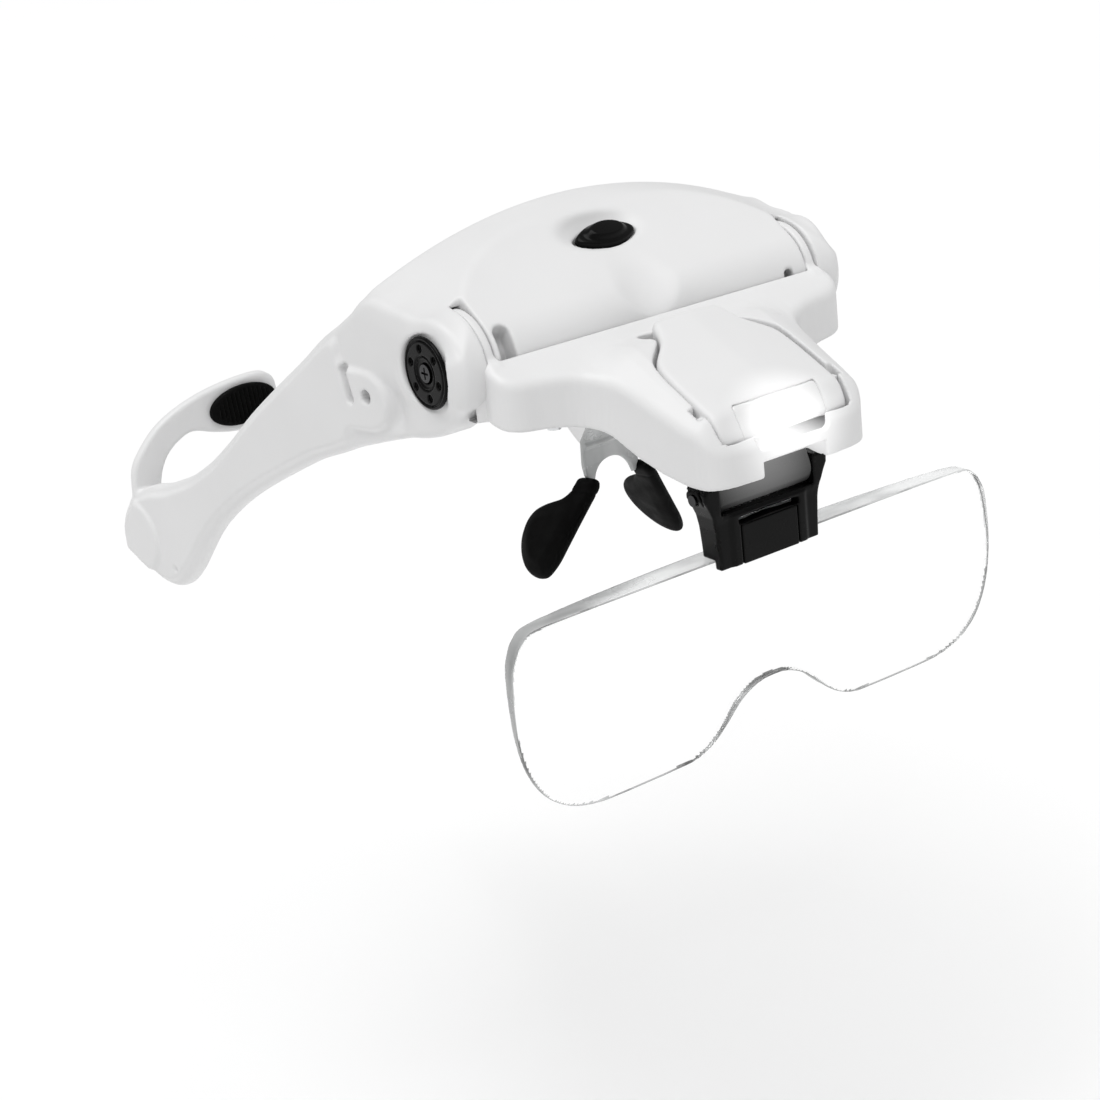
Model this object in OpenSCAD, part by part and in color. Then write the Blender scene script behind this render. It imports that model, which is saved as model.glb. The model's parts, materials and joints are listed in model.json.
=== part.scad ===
// Head visor magnifier: a headset with two arms, a tilting hood that carries a lamp, a flip-up
// bracket and a clip-in spectacle-wide lens. Millimetres, +Z up, the wearer looks along -Y.

/* [Crown] */
// Distance from the drawing datum back to the forehead line, which is the origin
rest_y = 13; // [12:0.5:14]
// Distance from the drawing datum forward to the hood's hinge axis
hinge_y = -17.6; // [-18:0.1:-17.4]
// Radius of the crown's rounded front, which the hood's rear edge rides over
drum_r = 13.9; // [13.8:0.05:13.95]
// Half the width of the crown between the hood's ears
crown_half = 51.9; // [51.5:0.1:52]
// Thickness of the moulded walls
wall = 2.2; // [1.8:0.1:2.4]
// Slope of the crown's front face, degrees
face_slope = 34.5; // [33:0.5:36]

/* [Hinge] */
// Radius of the side barrels
barrel_r = 14; // [13.8:0.1:14.2]
// Distance from the centre plane to a barrel's inner face
barrel_in = 55.2; // [55:0.1:55.4]
// Distance from the centre plane to a barrel's outer face
barrel_out = 66; // [65.5:0.1:66.5]
// Radius of the hood's stub shafts
stub_r = 3; // [2.8:0.1:3.2]
// Radial clearance of the stub shafts and pivot pins
running_gap = 0.06; // [0.04:0.01:0.08]
// Radius of the round pivot caps
cap_r = 9.7; // [9.5:0.1:9.8]

/* [Hood] */
// Slope of the hood's top, degrees
hood_slope = 25; // [24:0.5:26]
// Height of the hood's top above the hinge axis, square to the slope
hood_top = 8.2; // [8:0.1:8.4]
// Thickness of the hood's walls
hood_wall = 2; // [1.8:0.1:2.2]

/* [Lens and bracket] */
// Distance from the datum forward to the lens's flat front face
lens_front = -66.7; // [-67:0.1:-66.5]
// Radius of the lens's convex back
lens_back_r = 851; // [840:1:860]
// Greatest thickness of the full lens blank, which is cut from its lower part
lens_blank = 11.95; // [11.8:0.05:12.1]
// Length of the lens's tab inside the bracket
tab_len = 9; // [8:0.5:10]

/* [Arms] */
// How far the arms spread outward for each millimetre that they go back
arm_splay = 0.15; // [0.145:0.005:0.155]
// Radius of the strap peg hole near the front of each arm
peg_hole_r = 2; // [1.9:0.05:2.1]

/* [Button] */
// Travel of the light button
button_travel = 1.2; // [1:0.1:1.4]
// Width of the light button
button_w = 21; // [20:0.5:22]
// Depth of the light button
button_d = 8.6; // [8:0.2:9]

/* [Hidden] */
$fn = 64;
white = "#f2f2f2";
black = "#1a1a1c";
metal = "#c8ccd0";
clear = [0.9, 0.95, 1, 0.35];
eps = 0.02;

// The crown's front arc runs from below the hood to the tangent of the front face.
arc_low = -38;
arc_high = 90 - face_slope;
// Where the top meets the front face, as height and depth over the half width.
function crease_y(x) = let (u = pow(x / 50, 2)) -20.1 * u + 3.9 * u * u;
function crease_z(x) = let (u = pow(x / 50, 2)) 28 - 4.55 * u - 5.58 * u * u;
// The rear rim of the top.
rim_y = 9.4;
function rim_z(x) = 30.5 - 8.6 * pow(x / 50, 2);

// The arm's side outline, from the barrel to the foot: depth, top, bottom, thickness.
arm_rows = [
  [-3.3, 14.6, -20.5, 10.5], [4.7, 15.9, -22.5, 10.5], [11.5, 13.2, -24.4, 10], [20, 7.9, -26.9, 8.5],
  [28.5, 2.9, -30, 7.2], [38.5, -4.3, -33.5, 6.4], [52.7, -13.9, -40.1, 6], [66.7, -23.8, -47.1, 5.8],
  [78.1, -32.9, -53.7, 5.8], [88.7, -40.7, -61.1, 6], [95.9, -45.1, -67.3, 6.2],
  [102.3, -48.5, -74.1, 6.4], [109.5, -51.3, -81.7, 6.6], [117.5, -54, -87.4, 6.8],
  [126.1, -55.9, -87.8, 6.8], [134, -59.3, -84.9, 6.6], [140.2, -65.1, -81.6, 6.2],
  [144.1, -71.4, -79.6, 5.6]
];
arm_bevel = 2.2;
function arm_face(y) = barrel_out + arm_splay * (y - arm_rows[0][0]);

// The lens's lower edge, from the bridge notch outward, and its upper edge.
lens_low = [
  [0, -90.2], [5.8, -91.1], [11.3, -93.6], [17.3, -98.8], [22.3, -102.7], [28.8, -105.4],
  [35.1, -106.3], [44.6, -106.5], [54, -106.1], [62.1, -105], [68.2, -102.7], [72.9, -99],
  [76.3, -94.9], [78.7, -88.6], [80.7, -80], [81, -76]
];
lens_high = [[0, -53.9], [40, -53.9], [72.9, -54.7], [77.4, -57.6], [79.7, -63.2], [81, -72]];
lens_side = [for (p = lens_low) if (p.x > 0) p.x];
lens_stations = concat([for (i = [len(lens_side) - 1:-1:0]) -lens_side[i]], [0], lens_side);
// The depth of the lens's convex back, a sphere centred on the blank.
lens_centre_z = 22.6;
function lens_back(x, z) = lens_front + lens_blank - lens_back_r
  + sqrt(pow(lens_back_r, 2) - x * x - pow(z - lens_centre_z, 2));

// The hood's half outline seen from above, from the ear forward to the middle of the front.
hood_half = [
  [crown_half + 3.3, -27], [56.4, -31], [56.9, -35], [55.6, -38.4], [52, -40.3], [46, -41.3], [38, -43.6],
  [34, -46.6], [31.4, -51], [30, -57], [28.8, -66], [27.6, -74], [25.6, -78.6], [21.5, -81.2], [14, -82.2]
];
// The lamp bay's half outline, from the hinge side to the inside of the front lip.
bay_half = [[11.5, -30], [12.4, -44], [14.5, -47.5], [20.3, -53], [21.6, -60], [21.8, -80.2]];
// The lamp's half outline from its rounded rear.
lamp_half = [[5.5, -36.4], [9.6, -38.2], [11.6, -42], [12, -44.6], [13.9, -48], [19.6, -53.4],
  [20.8, -60], [21, -79.4]];

bracket_y = [-70.2, -62];
bracket_pivot = [-65.2, -36.6];
lamp_pivot = [-73.6, -12.6];
lamp_pin_r = 1.2;

// Moves a part from the drawing datum to the forehead line.
module place() translate([0, -rest_y, 0]) children();
// Draws both the given side and its mirror image.
module both() {
  children();
  mirror([1, 0, 0]) children();
}
// One side of the pair: -1 is the wearer's right, +1 the wearer's left.
module side(s) mirror([s < 0 ? 1 : 0, 0, 0]) children();
function total(v, i = 0) = i < len(v) ? v[i] + total(v, i + 1) : 0 * v[0];
function ring_normal(r) = total([for (i = [1:len(r) - 2]) cross(r[i] - r[0], r[i + 1] - r[0])]);
// Joins rings of points into one closed skin. Each ring has the same number of points, and all
// are turned the same way round the direction from the first ring to the last.
module skin(given) {
  n = len(given[0]);
  m = len(given);
  turn = ring_normal(given[1]) * (given[2][0] - given[0][0]) < 0;
  rings = turn ? [for (r = given) [for (i = [n - 1:-1:0]) r[i]]] : given;
  walls = [for (i = [0:m - 2], j = [0:n - 1]) let (k = (j + 1) % n)
    each [[i * n + j, (i + 1) * n + k, i * n + k], [i * n + j, (i + 1) * n + j, (i + 1) * n + k]]];
  ends = [[for (j = [0:n - 1]) j], [for (j = [n - 1:-1:0]) (m - 1) * n + j]];
  polyhedron([for (r = rings) each r], concat(walls, ends), convexity = 8);
}
// Extrudes a depth-height outline from one x to another.
module across(x0, x1) translate([x0, 0, 0]) rotate([90, 0, 90]) linear_extrude(x1 - x0) children();
// Extrudes a width-height outline from the back y to the front y.
module forward(y0, y1) translate([0, y0, 0]) rotate([90, 0, 0]) linear_extrude(y0 - y1) children();
// A cylinder along X.
module rod(x0, x1, r) translate([x0, 0, 0]) rotate([0, 90, 0]) cylinder(h = x1 - x0, r = r);
// A full outline from its half.
function mirrored(half) = concat(half, [for (i = [len(half) - 1:-1:0]) [-half[i].x, half[i].y]]);
// A lens-shaped outline from two arcs.
module almond(w, d) {
  r = (w * w / 4 + d * d / 4) / d;
  intersection() {
    translate([0, d / 2 - r]) circle(r, $fn = 128);
    translate([0, r - d / 2]) circle(r, $fn = 128);
  }
}
// Moves to the middle of the crown's front face, with Z square to it.
module on_face() translate([0, -11, 21.5]) rotate([face_slope, 0, 0]) children();

// ---- Crown ----
function arc_point(a, r) = [hinge_y - r * cos(a), r * sin(a)];
function crown_outer(x) = concat(
  [for (i = [0:6]) arc_point(arc_low + (arc_high - arc_low) * i / 6, drum_r)],
  [[crease_y(x), crease_z(x)]]);
function crown_inner(x) = concat(
  [[crease_y(x) + 0.6, crease_z(x) - wall * 1.25]],
  [for (i = [6:-1:0]) arc_point(arc_low + (arc_high - arc_low) * i / 6, drum_r - wall)]);
module crown_shell() color(white) place() difference() {
  union() {
    skin([for (i = [-12:12]) let (x = crown_half * i / 12)
      [for (p = concat(crown_outer(x), crown_inner(x))) [x, p.x, p.y]]]);
    // Bosses for the cover screws.
    both() translate([cover_screw.x, cover_screw.y, cover_z + 2.6]) cylinder(h = 18.4, r = 2.6);
  }
  both() translate([cover_screw.x, cover_screw.y, cover_z]) cylinder(h = 14, r = 1.1);
  on_face() translate([0, 0, -8]) linear_extrude(16) almond(button_w + 0.9, button_d + 0.9);
  // Slot that clears the lamp lead as the hood tilts.
  translate([-50.2, hinge_y, 0]) difference() {
    rotate([-8, 0, 0]) translate([0, -20, 0]) cube([4.6, 20, 10]);
    rod(-1, 6, drum_r - wall - 2);
  }
}
module brow_body()
  skin([for (i = [-12:12]) let (x = crown_half * i / 12, z = rim_z(x), cy = crease_y(x) + eps)
    [for (p = [[cy, crease_z(x)], [(cy + rim_y) / 2, (crease_z(x) + z) / 2 + 0.5], [rim_y, z],
        [rim_y + 1.6, z - 1.6], [rim_y + 2.2, z - 5], [rim_y + 1.2, -3], [rim_y - 1, -3],
        [rim_y, z - 5], [rim_y - 1, z - 3], [cy + 0.6, crease_z(x) - wall * 1.25]])
      [x, p.x, p.y]]]);
module brow_band() color(white) place() brow_body();
cover_z = -8;
function cover_under(y) = cover_z + (y - 8) * 3 / 34;
door_x = 46.4;
door_y = [-13, 4];
cover_screw = [38, -19];
module crown_cover() color(white) place() difference() {
  union() {
    // End walls behind the hood's ears.
    both() across(crown_half - 1.6, crown_half) polygon(concat(
      [for (i = [0:6]) arc_point(arc_low + (arc_high - arc_low) * i / 6, drum_r - wall - eps)],
      [[-17.5, 12.8], [7.6, 16], [7.6, -4.6], [4.9, cover_z + 1.2], [-25, cover_z - 0.2]]));
    across(-crown_half, crown_half) polygon([[-27.9, cover_z - 0.6], [-26, cover_under(-26)], [8, cover_z],
      [rim_y + 1.2, -3.02], [rim_y - 1, -3.02], [5, cover_z + wall], [-25, cover_z + wall - 1.5]]);
    // Partition ribs that carry the cells.
    both() translate([door_x + 0.4, -9, cover_z + 1]) cube([1.2, 12, 10]);
  }
  translate([-door_x, door_y[0], cover_z - 10]) cube([2 * door_x, door_y[1] - door_y[0], 20]);
  both() translate([cover_screw.x, cover_screw.y, cover_z - 5]) {
    cylinder(h = 20, r = 1.2);
    cylinder(h = 4, r = 2);
  }
}
module battery_door() color(white) place() {
  translate([-door_x + 0.3, door_y[0] + 0.3, cover_z - 1.6])
    cube([2 * door_x - 0.6, door_y[1] - door_y[0] - 0.6, 2]);
  translate([-6, door_y[0] + 0.3, cover_z - 2.6]) cube([12, 1.2, 1.2]);
}
cell_axis = [-4.2, 2.6];
module battery_cells() color("#3c6e57") place() translate([0, cell_axis.x, cell_axis.y])
  for (x = [-44.9, 0.4]) {
    rod(x, x + 43.5, 5.2);
    rod(x + 43.4, x + 44.4, 1.9);
  }
module battery_contacts() color(metal) place() translate([0, cell_axis.x, cell_axis.y]) {
  both() translate([45.6, -4, -4]) cube([0.5, 8, 8]);
}
module switch_board() color("#2f6b45") place() on_face()
  translate([-13, -6, -8.2]) cube([26, 11, 1.2]);
switch_top = -3.6;
button_top = 1.3;
module push_switch() color(black) place() on_face()
  translate([-3.2, -3.2, switch_top - 3.4]) cube([6.4, 6.4, 3.4]);
module light_button() color(black) place() on_face() {
  let (low = switch_top + button_travel + 0.4) translate([0, 0, low])
    linear_extrude(button_top - low) almond(button_w, button_d);
  translate([0, 0, button_top - 0.1]) linear_extrude(0.9) almond(button_w * 0.55, button_d * 0.7);
}
module cover_screws() color(metal) place() both()
  translate([cover_screw.x, cover_screw.y, cover_z - 1]) {
    cylinder(h = 12, r = 1.08);
    translate([0, 0, -1.1]) cylinder(h = 1.1, r = 1.9);
  }
module forehead_pad() color(black) place() difference() {
  across(-crown_half + 4, crown_half - 4) polygon([[rim_y + 1.1, -2], [rim_y + 3, -1], [rest_y, 2],
    [rest_y, 12], [rim_y + 3.2, 15], [rim_y + 1.7, 15.5]]);
  brow_body();
}

// ---- Hinge barrels with the rear of the temple behind them ----
module hinge_barrel(s) color(white) place() side(s) difference() {
  union() {
    translate([0, hinge_y, 0]) rod(barrel_in, barrel_out, barrel_r);
    across(barrel_in, barrel_out) polygon([[hinge_y, 13], [-14, 13.9], [-3.32, 14.6], [-3.32, -20.5],
      [-15, -18.2], [-20, -16.2], [-27.6, -9], [hinge_y, 0]]);
  }
  translate([0, hinge_y, 0]) {
    rod(barrel_in - 1, barrel_out + 1, stub_r + running_gap);
    rod(barrel_out - 2.2, barrel_out + 1, cap_r + 0.3);
    rod(barrel_out - 4.4, barrel_out, 6.4);
  }
}
module hinge_barrel_left() hinge_barrel(1);
module hinge_barrel_right() hinge_barrel(-1);
cap_x = barrel_out - 2;
module pivot_caps() color(black) place() both() translate([0, hinge_y, 0]) difference() {
  rod(cap_x, cap_x + 1.3, cap_r);
  rod(cap_x - 1, cap_x + 2, 2.7);
  for (a = [0:60:300]) rotate([a + 20, 0, 0]) translate([0, 6.4, 0]) rod(cap_x + 0.6, cap_x + 2, 0.9);
}
module spring_washers() color(metal) place() both() translate([0, hinge_y, 0]) difference() {
  rod(cap_x - 1.4, cap_x - 0.4, 5.8);
  rod(cap_x - 2, cap_x, 1.5);
}

// ---- Arms ----
// One ring of the arm: a bevelled strip between its top and bottom edges.
function arm_ring(row) =
  let (y = row[0], t = row[1], b = row[2], w = row[3], x = arm_face(y), c = arm_bevel)
  [[x - c, y, t], [x, y, t - c * 1.6], [x, y, b + c * 1.6], [x - c, y, b],
   [x - w + c * 0.6, y, b], [x - w, y, b + c], [x - w, y, t - c], [x - w + c * 0.6, y, t]];
module arm_body() skin([for (row = arm_rows) arm_ring(row)]);
module arm(s) color(white) place() side(s) difference() {
  arm_body();
  // Strap peg hole and strap slot.
  translate([0, 9.8, -10.3]) rod(arm_face(9.8) - 6, arm_face(9.8) + 3, peg_hole_r);
  translate([arm_face(17.5) - 3, 17.5, -7.9]) rotate([-14, 0, 0]) {
    translate([0, -1.5, -4]) cube([6, 3, 8]);
    for (z = [-4, 4]) translate([0, 0, z]) rod(0, 6, 1.5);
  }
}
module arm_left() arm(1);
module arm_right() arm(-1);
hook_y = 135.2;
hook_outline = [
  [85.6, -67], [86.4, -61.3], [84.2, -52.5], [80.7, -47], [74.5, -41.1], [66.5, -36.9], [56.7, -33.9],
  [46.4, -32.3], [37.6, -32], [33.8, -33.2], [31.4, -36.2], [31.4, -42.3], [34.2, -46.7], [39.7, -49.2],
  [47.7, -49.2], [55.1, -47.6], [62.2, -45.4], [67.4, -47.1], [71.9, -50.5], [74.8, -55.5],
  [76.3, -61.3], [77.5, -67]
];
hook_t = 3.4;
module hook(s) color(white) place() side(s) difference() {
  forward(hook_y + hook_t / 2, hook_y - hook_t / 2) polygon(hook_outline);
  arm_body();
}
module hook_left() hook(1);
module hook_right() hook(-1);
pad_w = 24.6;
pad_h = 13.1;
pad_t = 2.4;
module hook_pad(s) color(black) place() side(s)
  translate([43.6, 0, -40.7]) forward(hook_y - hook_t / 2, hook_y - hook_t / 2 - pad_t) rotate(-4) {
    square([pad_w - pad_h, pad_h], center = true);
    for (x = [-1, 1]) translate([x * (pad_w - pad_h) / 2, 0]) circle(pad_h / 2);
  }
module hook_pad_left() hook_pad(1);
module hook_pad_right() hook_pad(-1);

// ---- Nose rest ----
saddle_half = 9.8;
saddle_y = [-3.8, -1.6];
saddle_foot = -48.4;
module nose_bridge() color(metal) place() intersection() {
  // Bent strip: a flange under the crown, a drop in front of the battery door, a slope back, a foot.
  across(-saddle_half, saddle_half) polygon([[-22, cover_under(-22)], [-14.2, cover_under(-14.2)],
    [-14.2, -20], [saddle_y[1], -36.6], [saddle_y[1], saddle_foot], [saddle_y[0], saddle_foot],
    [saddle_y[0], -37.4], [-16.4, -20.8], [-16.4, -12.2], [-22, -12.6]]);
  forward(0, -25) difference() {
    polygon([[-saddle_half, -9], [saddle_half, -9], [9.4, saddle_foot + 2.4], [7, saddle_foot],
      [-7, saddle_foot], [-9.4, saddle_foot + 2.4]]);
    translate([0, saddle_foot - 1.1]) circle(6.6);
  }
}
// The paddle's outline, straight in front and full behind.
paddle = [
  [-4.6, -1.2], [-3.6, -0.2], [2.9, -0.2], [4.4, -2.6], [5.7, -4.9], [8.4, -6.8], [12, -8], [15.5, -9.2],
  [19, -11.2], [21.4, -14.4], [22, -18.5], [21.4, -22], [19.8, -25.4], [16.8, -28.4], [13.2, -30],
  [9.5, -30.4], [6.6, -29.6], [4, -25.8], [2, -20.4], [-0.3, -14.4], [-2.9, -7.9], [-4.8, -2.6]
];
module nose_pad(s) color(black) place() side(s) difference() {
  translate([8.8, -3.4, -46.6]) rotate([-8, -31, 0]) across(-1.7, 1.7) polygon(paddle);
  forward(saddle_y[1] + 0.02, saddle_y[0] - 0.02)
    polygon([[0, -40], [9.6, -40], [9.42, saddle_foot + 2.4], [7, saddle_foot - 0.02],
      [0, saddle_foot - 0.02]]);
}
module nose_pad_left() nose_pad(1);
module nose_pad_right() nose_pad(-1);

// ---- Hood ----
// The height of the hood's sloping top over a depth.
function hood_z(y, lift = 0) = (hood_top + lift) / cos(hood_slope) + (y - hinge_y) * tan(hood_slope);
hood_under = [[-20, -12.6], [-33, -14.4], [-44, -16.4], [-52, -20.4], [-60, -24.2], [-70, -27.8],
  [-83, -30.2]];
hood_floor = [for (i = [len(hood_under) - 1:-1:0]) hood_under[i]];
// The raised middle around the lamp: its half width and its top line from the front to the rear.
crest_half = 30;
hood_crest = [[-83, -21], [-80.6, -16], [-74, -11.6], [-57, -4.6], [-44, -0.4], [-30, 3.2]];
// Everything under the top and above the underside, its sides brought in by t.
module hood_block(t) intersection() {
  translate([0, 0, -60]) linear_extrude(120) offset(delta = -t) polygon(mirrored(hood_half));
  union() {
    across(-60, 60) polygon(concat([[-83, hood_z(-83)], [-20, hood_z(-20)]], hood_under));
    across(-crest_half + t, crest_half - t) polygon(concat(hood_crest, hood_under));
  }
}
// A slab across the hood above or below a line square to the sloping top.
module above_hood(lift) across(-70, 70)
  polygon([[-90, hood_z(-90, lift)], [-20, hood_z(-20, lift)], [-20, 60], [-90, 60]]);
module bay(grow) linear_extrude(120, center = true) offset(delta = grow) polygon(mirrored(bay_half));
bay_floor = -5.2;
hood_screw = [41, -37.4];
module drum_cut() translate([0, hinge_y, 0]) {
  rod(-crown_half - 0.35, crown_half + 0.35, drum_r + 0.35);
  rod(-barrel_in + 0.2, barrel_in - 0.2, barrel_r + eps);
}
// Clearance under the middle of the front for the bracket as it flips up.
module lip_cut() translate([-10.4, -90, -60]) cube([20.8, 15, 34.6]);
module hood_shell() color(white) place() difference() {
  hood_block(0);
  difference() {
    translate([0, 0, -hood_wall]) intersection() {
      hood_block(hood_wall);
      translate([-70, -90, -60]) cube([140, 56, 120]);
    }
    intersection() {
      bay(1.6);
      above_hood(bay_floor - 1.6);
    }
    both() translate([hood_screw.x, hood_screw.y, -12.4]) cylinder(h = 30, r = 2.4);
  }
  intersection() {
    bay(0);
    above_hood(bay_floor);
  }
  both() translate([hood_screw.x, hood_screw.y, -20]) cylinder(h = 16, r = 1.1);
  both() translate([0, lamp_pivot.x, lamp_pivot.y]) rod(21, 23, lamp_pin_r + running_gap);
  drum_cut();
  lip_cut();
  both() translate([barrel_in - 0.35, -34, -40]) cube([20, 40, 80]);
}
module hood_cover() color(white) place() difference() {
  intersection() {
    translate([0, 0, -60]) linear_extrude(60)
      offset(delta = -hood_wall - 0.05) polygon(mirrored(hood_half));
    across(-60, 60) polygon(concat(hood_under,
      [for (i = [len(hood_under) - 1:-1:0]) hood_under[i] + [0, hood_wall]]));
  }
  translate([-70, -35, -60]) cube([140, 40, 120]);
  both() translate([hood_screw.x, hood_screw.y, -20]) cylinder(h = 16, r = 1.2);
  lip_cut();
}
// Knuckle that carries the flip-up bracket.
knuckle_r = 4.8;
knuckle_half = 15.3;
// The web above the knuckle, set back so that the bracket clears it when it is up.
web_front = 3.4;
web_rear = 3;
module bracket_mount() color(black) place() difference() {
  union() {
    translate([0, bracket_pivot.x, bracket_pivot.y]) rod(-knuckle_half, knuckle_half, knuckle_r);
    across(-knuckle_half, knuckle_half) polygon([
      [bracket_pivot.x - web_front, bracket_pivot.y],
      [bracket_pivot.x - web_front, lookup(bracket_pivot.x - web_front, hood_floor)],
      [bracket_pivot.x + web_rear, lookup(bracket_pivot.x + web_rear, hood_floor)],
      [bracket_pivot.x + web_rear, bracket_pivot.y]]);
  }
  translate([0, bracket_pivot.x, bracket_pivot.y]) rod(-30, 30, 1.5 + running_gap);
}
module hood_ear(s) color(white) place() side(s) translate([0, hinge_y, 0]) difference() {
  union() {
    rod(crown_half + 0.35, barrel_in - 0.3, barrel_r);
    rod(crown_half + 1, cap_x - 1.5, stub_r);
  }
  rod(crown_half + 4, cap_x, 1.1);
}
module hood_ear_left() hood_ear(1);
module hood_ear_right() hood_ear(-1);
module pivot_screws() color(metal) place() both() translate([0, hinge_y, 0]) {
  rod(crown_half + 5, cap_x - 0.3, 1.08);
  difference() {
    rod(cap_x - 0.3, cap_x + 1.1, 2.4);
    for (a = [0, 90]) rotate([a, 0, 0]) translate([cap_x + 0.5, -1.6, -0.3]) cube([2, 3.2, 0.6]);
  }
}
module hood_screws() color(metal) place() both() translate([hood_screw.x, hood_screw.y, -17.2]) {
  cylinder(h = 10, r = 1.08);
  cylinder(h = 1.6, r = 1.9);
}
module lamp_lead() color(black) place() translate([-38, -39, -9.5]) rod(0, 24, 0.8);

// ---- Lamp ----
lamp_low = -3.6;
lamp_wall = 1.6;
lamp_front = -79.4;
// The lamp's top line from the front edge to the rear.
lamp_top = [[lamp_front, -17], [-77.5, -12.9], [-74, -10.6], [-57, -3.6], [-46, 0.6], [-40, 1],
  [-36.4, -1.5]];
// The lamp's shape, its sides brought in by t and its top lowered by drop. The lower front corner is
// cut back so that it clears the bay's floor as the lamp tips.
module lamp_block(t, low, drop) intersection() {
  translate([0, 0, -60]) linear_extrude(120) offset(delta = -t) polygon(mirrored(lamp_half));
  across(-30, 30) polygon(concat([for (p = lamp_top) [p.x, p.y - drop]], [[-36.4, hood_z(-36.4, low)],
    [-73.5, hood_z(-73.5, low)], [-76.5, hood_z(-76.5, low) + 1.3],
    [lamp_front, hood_z(lamp_front, low) + 4.2]]));
}
// The space in front for the window, over a half width.
window_half = 14;
module window_cut(half) translate([-half, -85, -60]) cube([2 * half, 14, 120]);
module lamp_housing() color(white) place() {
  difference() {
    lamp_block(0, lamp_low, 0);
    lamp_block(lamp_wall, lamp_low - 6, lamp_wall);
    window_cut(window_half);
  }
  both() translate([0, lamp_pivot.x, lamp_pivot.y]) rod(20.4, 22.7, lamp_pin_r);
}
module lamp_tray() color(white) place() difference() {
  lamp_block(lamp_wall + 0.1, lamp_low, lamp_wall + 0.1);
  above_hood(lamp_low + 1.4);
  window_cut(window_half + 1);
}
module lamp_window() color(clear) place() intersection() {
  difference() {
    lamp_block(0.1, lamp_low + 0.1, 0.1);
    lamp_block(1.4, lamp_low + 1.5, 1.5);
  }
  window_cut(window_half - 0.1);
}
led_x = 6;
// The line that both LEDs look along, in line with the hood's slope.
module on_led_axis() translate([0, -68.6, -13.6]) rotate([90 + hood_slope, 0, 0]) children();
module lamp_reflector() color("#dddddd") place() on_led_axis() both()
  translate([led_x, 0, 0]) difference() {
    cylinder(h = 4.2, r = 2.8);
    translate([0, 0, 1]) cylinder(h = 4, r = 2.3);
    translate([0, 0, -1]) cylinder(h = 4, r = 1.6);
  }
module led_board() color("#2f6b45") place() on_led_axis()
  translate([-12, -2.8, -1.2]) cube([24, 5.6, 1.2]);
module leds() color("#fffdf0") place() on_led_axis() both() translate([led_x, 0, 0]) {
  cylinder(h = 2.2, r = 1.5);
  translate([0, 0, 2.1]) sphere(1.46);
}

// ---- Lens bracket ----
module bracket_outline() polygon([[-16.4, -56], [-16.9, -50], [-17.2, -44], [-18.4, -40.4], [-20.6, -37.6],
  [-20.6, -34.4], [-19, -33.2], [19, -33.2], [20.6, -34.4], [20.6, -37.6], [18.4, -40.4], [17.2, -44],
  [16.9, -50], [16.4, -56]]);
tongue_w = 9.4;
tongue_z = [-54.6, -45];
tab_top = -53.9 + tab_len;
// The space swept by the hood's knuckle.
module knuckle_cut() {
  translate([0, bracket_pivot.x, bracket_pivot.y])
    rod(-knuckle_half - 0.3, knuckle_half + 0.3, knuckle_r + 0.2);
  translate([-knuckle_half - 0.3, -80, bracket_pivot.y]) cube([2 * knuckle_half + 0.6, 30, 20]);
  translate([0, bracket_pivot.x, bracket_pivot.y]) rod(-30, 30, 1.5);
}
module bracket_front() color(black) place() difference() {
  forward(-67, bracket_y[0]) bracket_outline();
  translate([-tongue_w, -80, tongue_z[0]]) cube([2 * tongue_w, 20, tongue_z[1] - tongue_z[0] + 0.8]);
  translate([-knuckle_half - 0.3, -80, bracket_pivot.y - web_front - 0.2])
    cube([2 * knuckle_half + 0.6, 20, 20]);
  knuckle_cut();
}
module bracket_back() color(black) place() difference() {
  forward(bracket_y[1], -66.98) bracket_outline();
  translate([-15, -67.5, -57]) cube([30, 3.8, 57 + tab_top + 0.4]);
  translate([-30, -70, -60]) cube([60, 20, 6.5]);
  knuckle_cut();
}
// The tongue's root is rounded about the line that it turns on.
tongue_root = [-68.8, -52.7];
tongue_half = tongue_w - 0.6;
module release_tongue() color(black) place() {
  forward(2 * tongue_root.x - bracket_y[0], bracket_y[0])
    translate([-tongue_half, tongue_root.y]) square([2 * tongue_half, tongue_z[1] - tongue_root.y]);
  translate([0, tongue_root.x, tongue_root.y])
    rod(-tongue_half, tongue_half, tongue_root.x - bracket_y[0]);
}
module bracket_pins() color(metal) place() both()
  translate([0, bracket_pivot.x, bracket_pivot.y]) rod(knuckle_half - 5, 20.9, 1.5);

// ---- Lens ----
module lens() color(clear) place() {
  skin([for (x = lens_stations) let (low = lookup(abs(x), lens_low), high = lookup(abs(x), lens_high))
    concat([[x, lens_front, high], [x, lens_front, low]],
      [for (i = [0:5]) let (z = low + (high - low) * i / 5) [x, lens_back(x, z), z]])]);
  translate([-14.6, lens_front, -54.1]) cube([29.2, 2.7, tab_len + 0.2]);
}

crown_shell();
brow_band();
crown_cover();
battery_door();
battery_cells();
battery_contacts();
switch_board();
push_switch();
light_button();
cover_screws();
forehead_pad();
hinge_barrel_left();
hinge_barrel_right();
pivot_caps();
spring_washers();
arm_left();
arm_right();
hook_left();
hook_right();
hook_pad_left();
hook_pad_right();
nose_bridge();
nose_pad_left();
nose_pad_right();
hood_shell();
hood_cover();
hood_ear_left();
hood_ear_right();
pivot_screws();
hood_screws();
bracket_mount();
lamp_lead();
lamp_housing();
lamp_tray();
lamp_window();
lamp_reflector();
led_board();
leds();
bracket_front();
bracket_back();
release_tongue();
bracket_pins();
lens();
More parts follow.
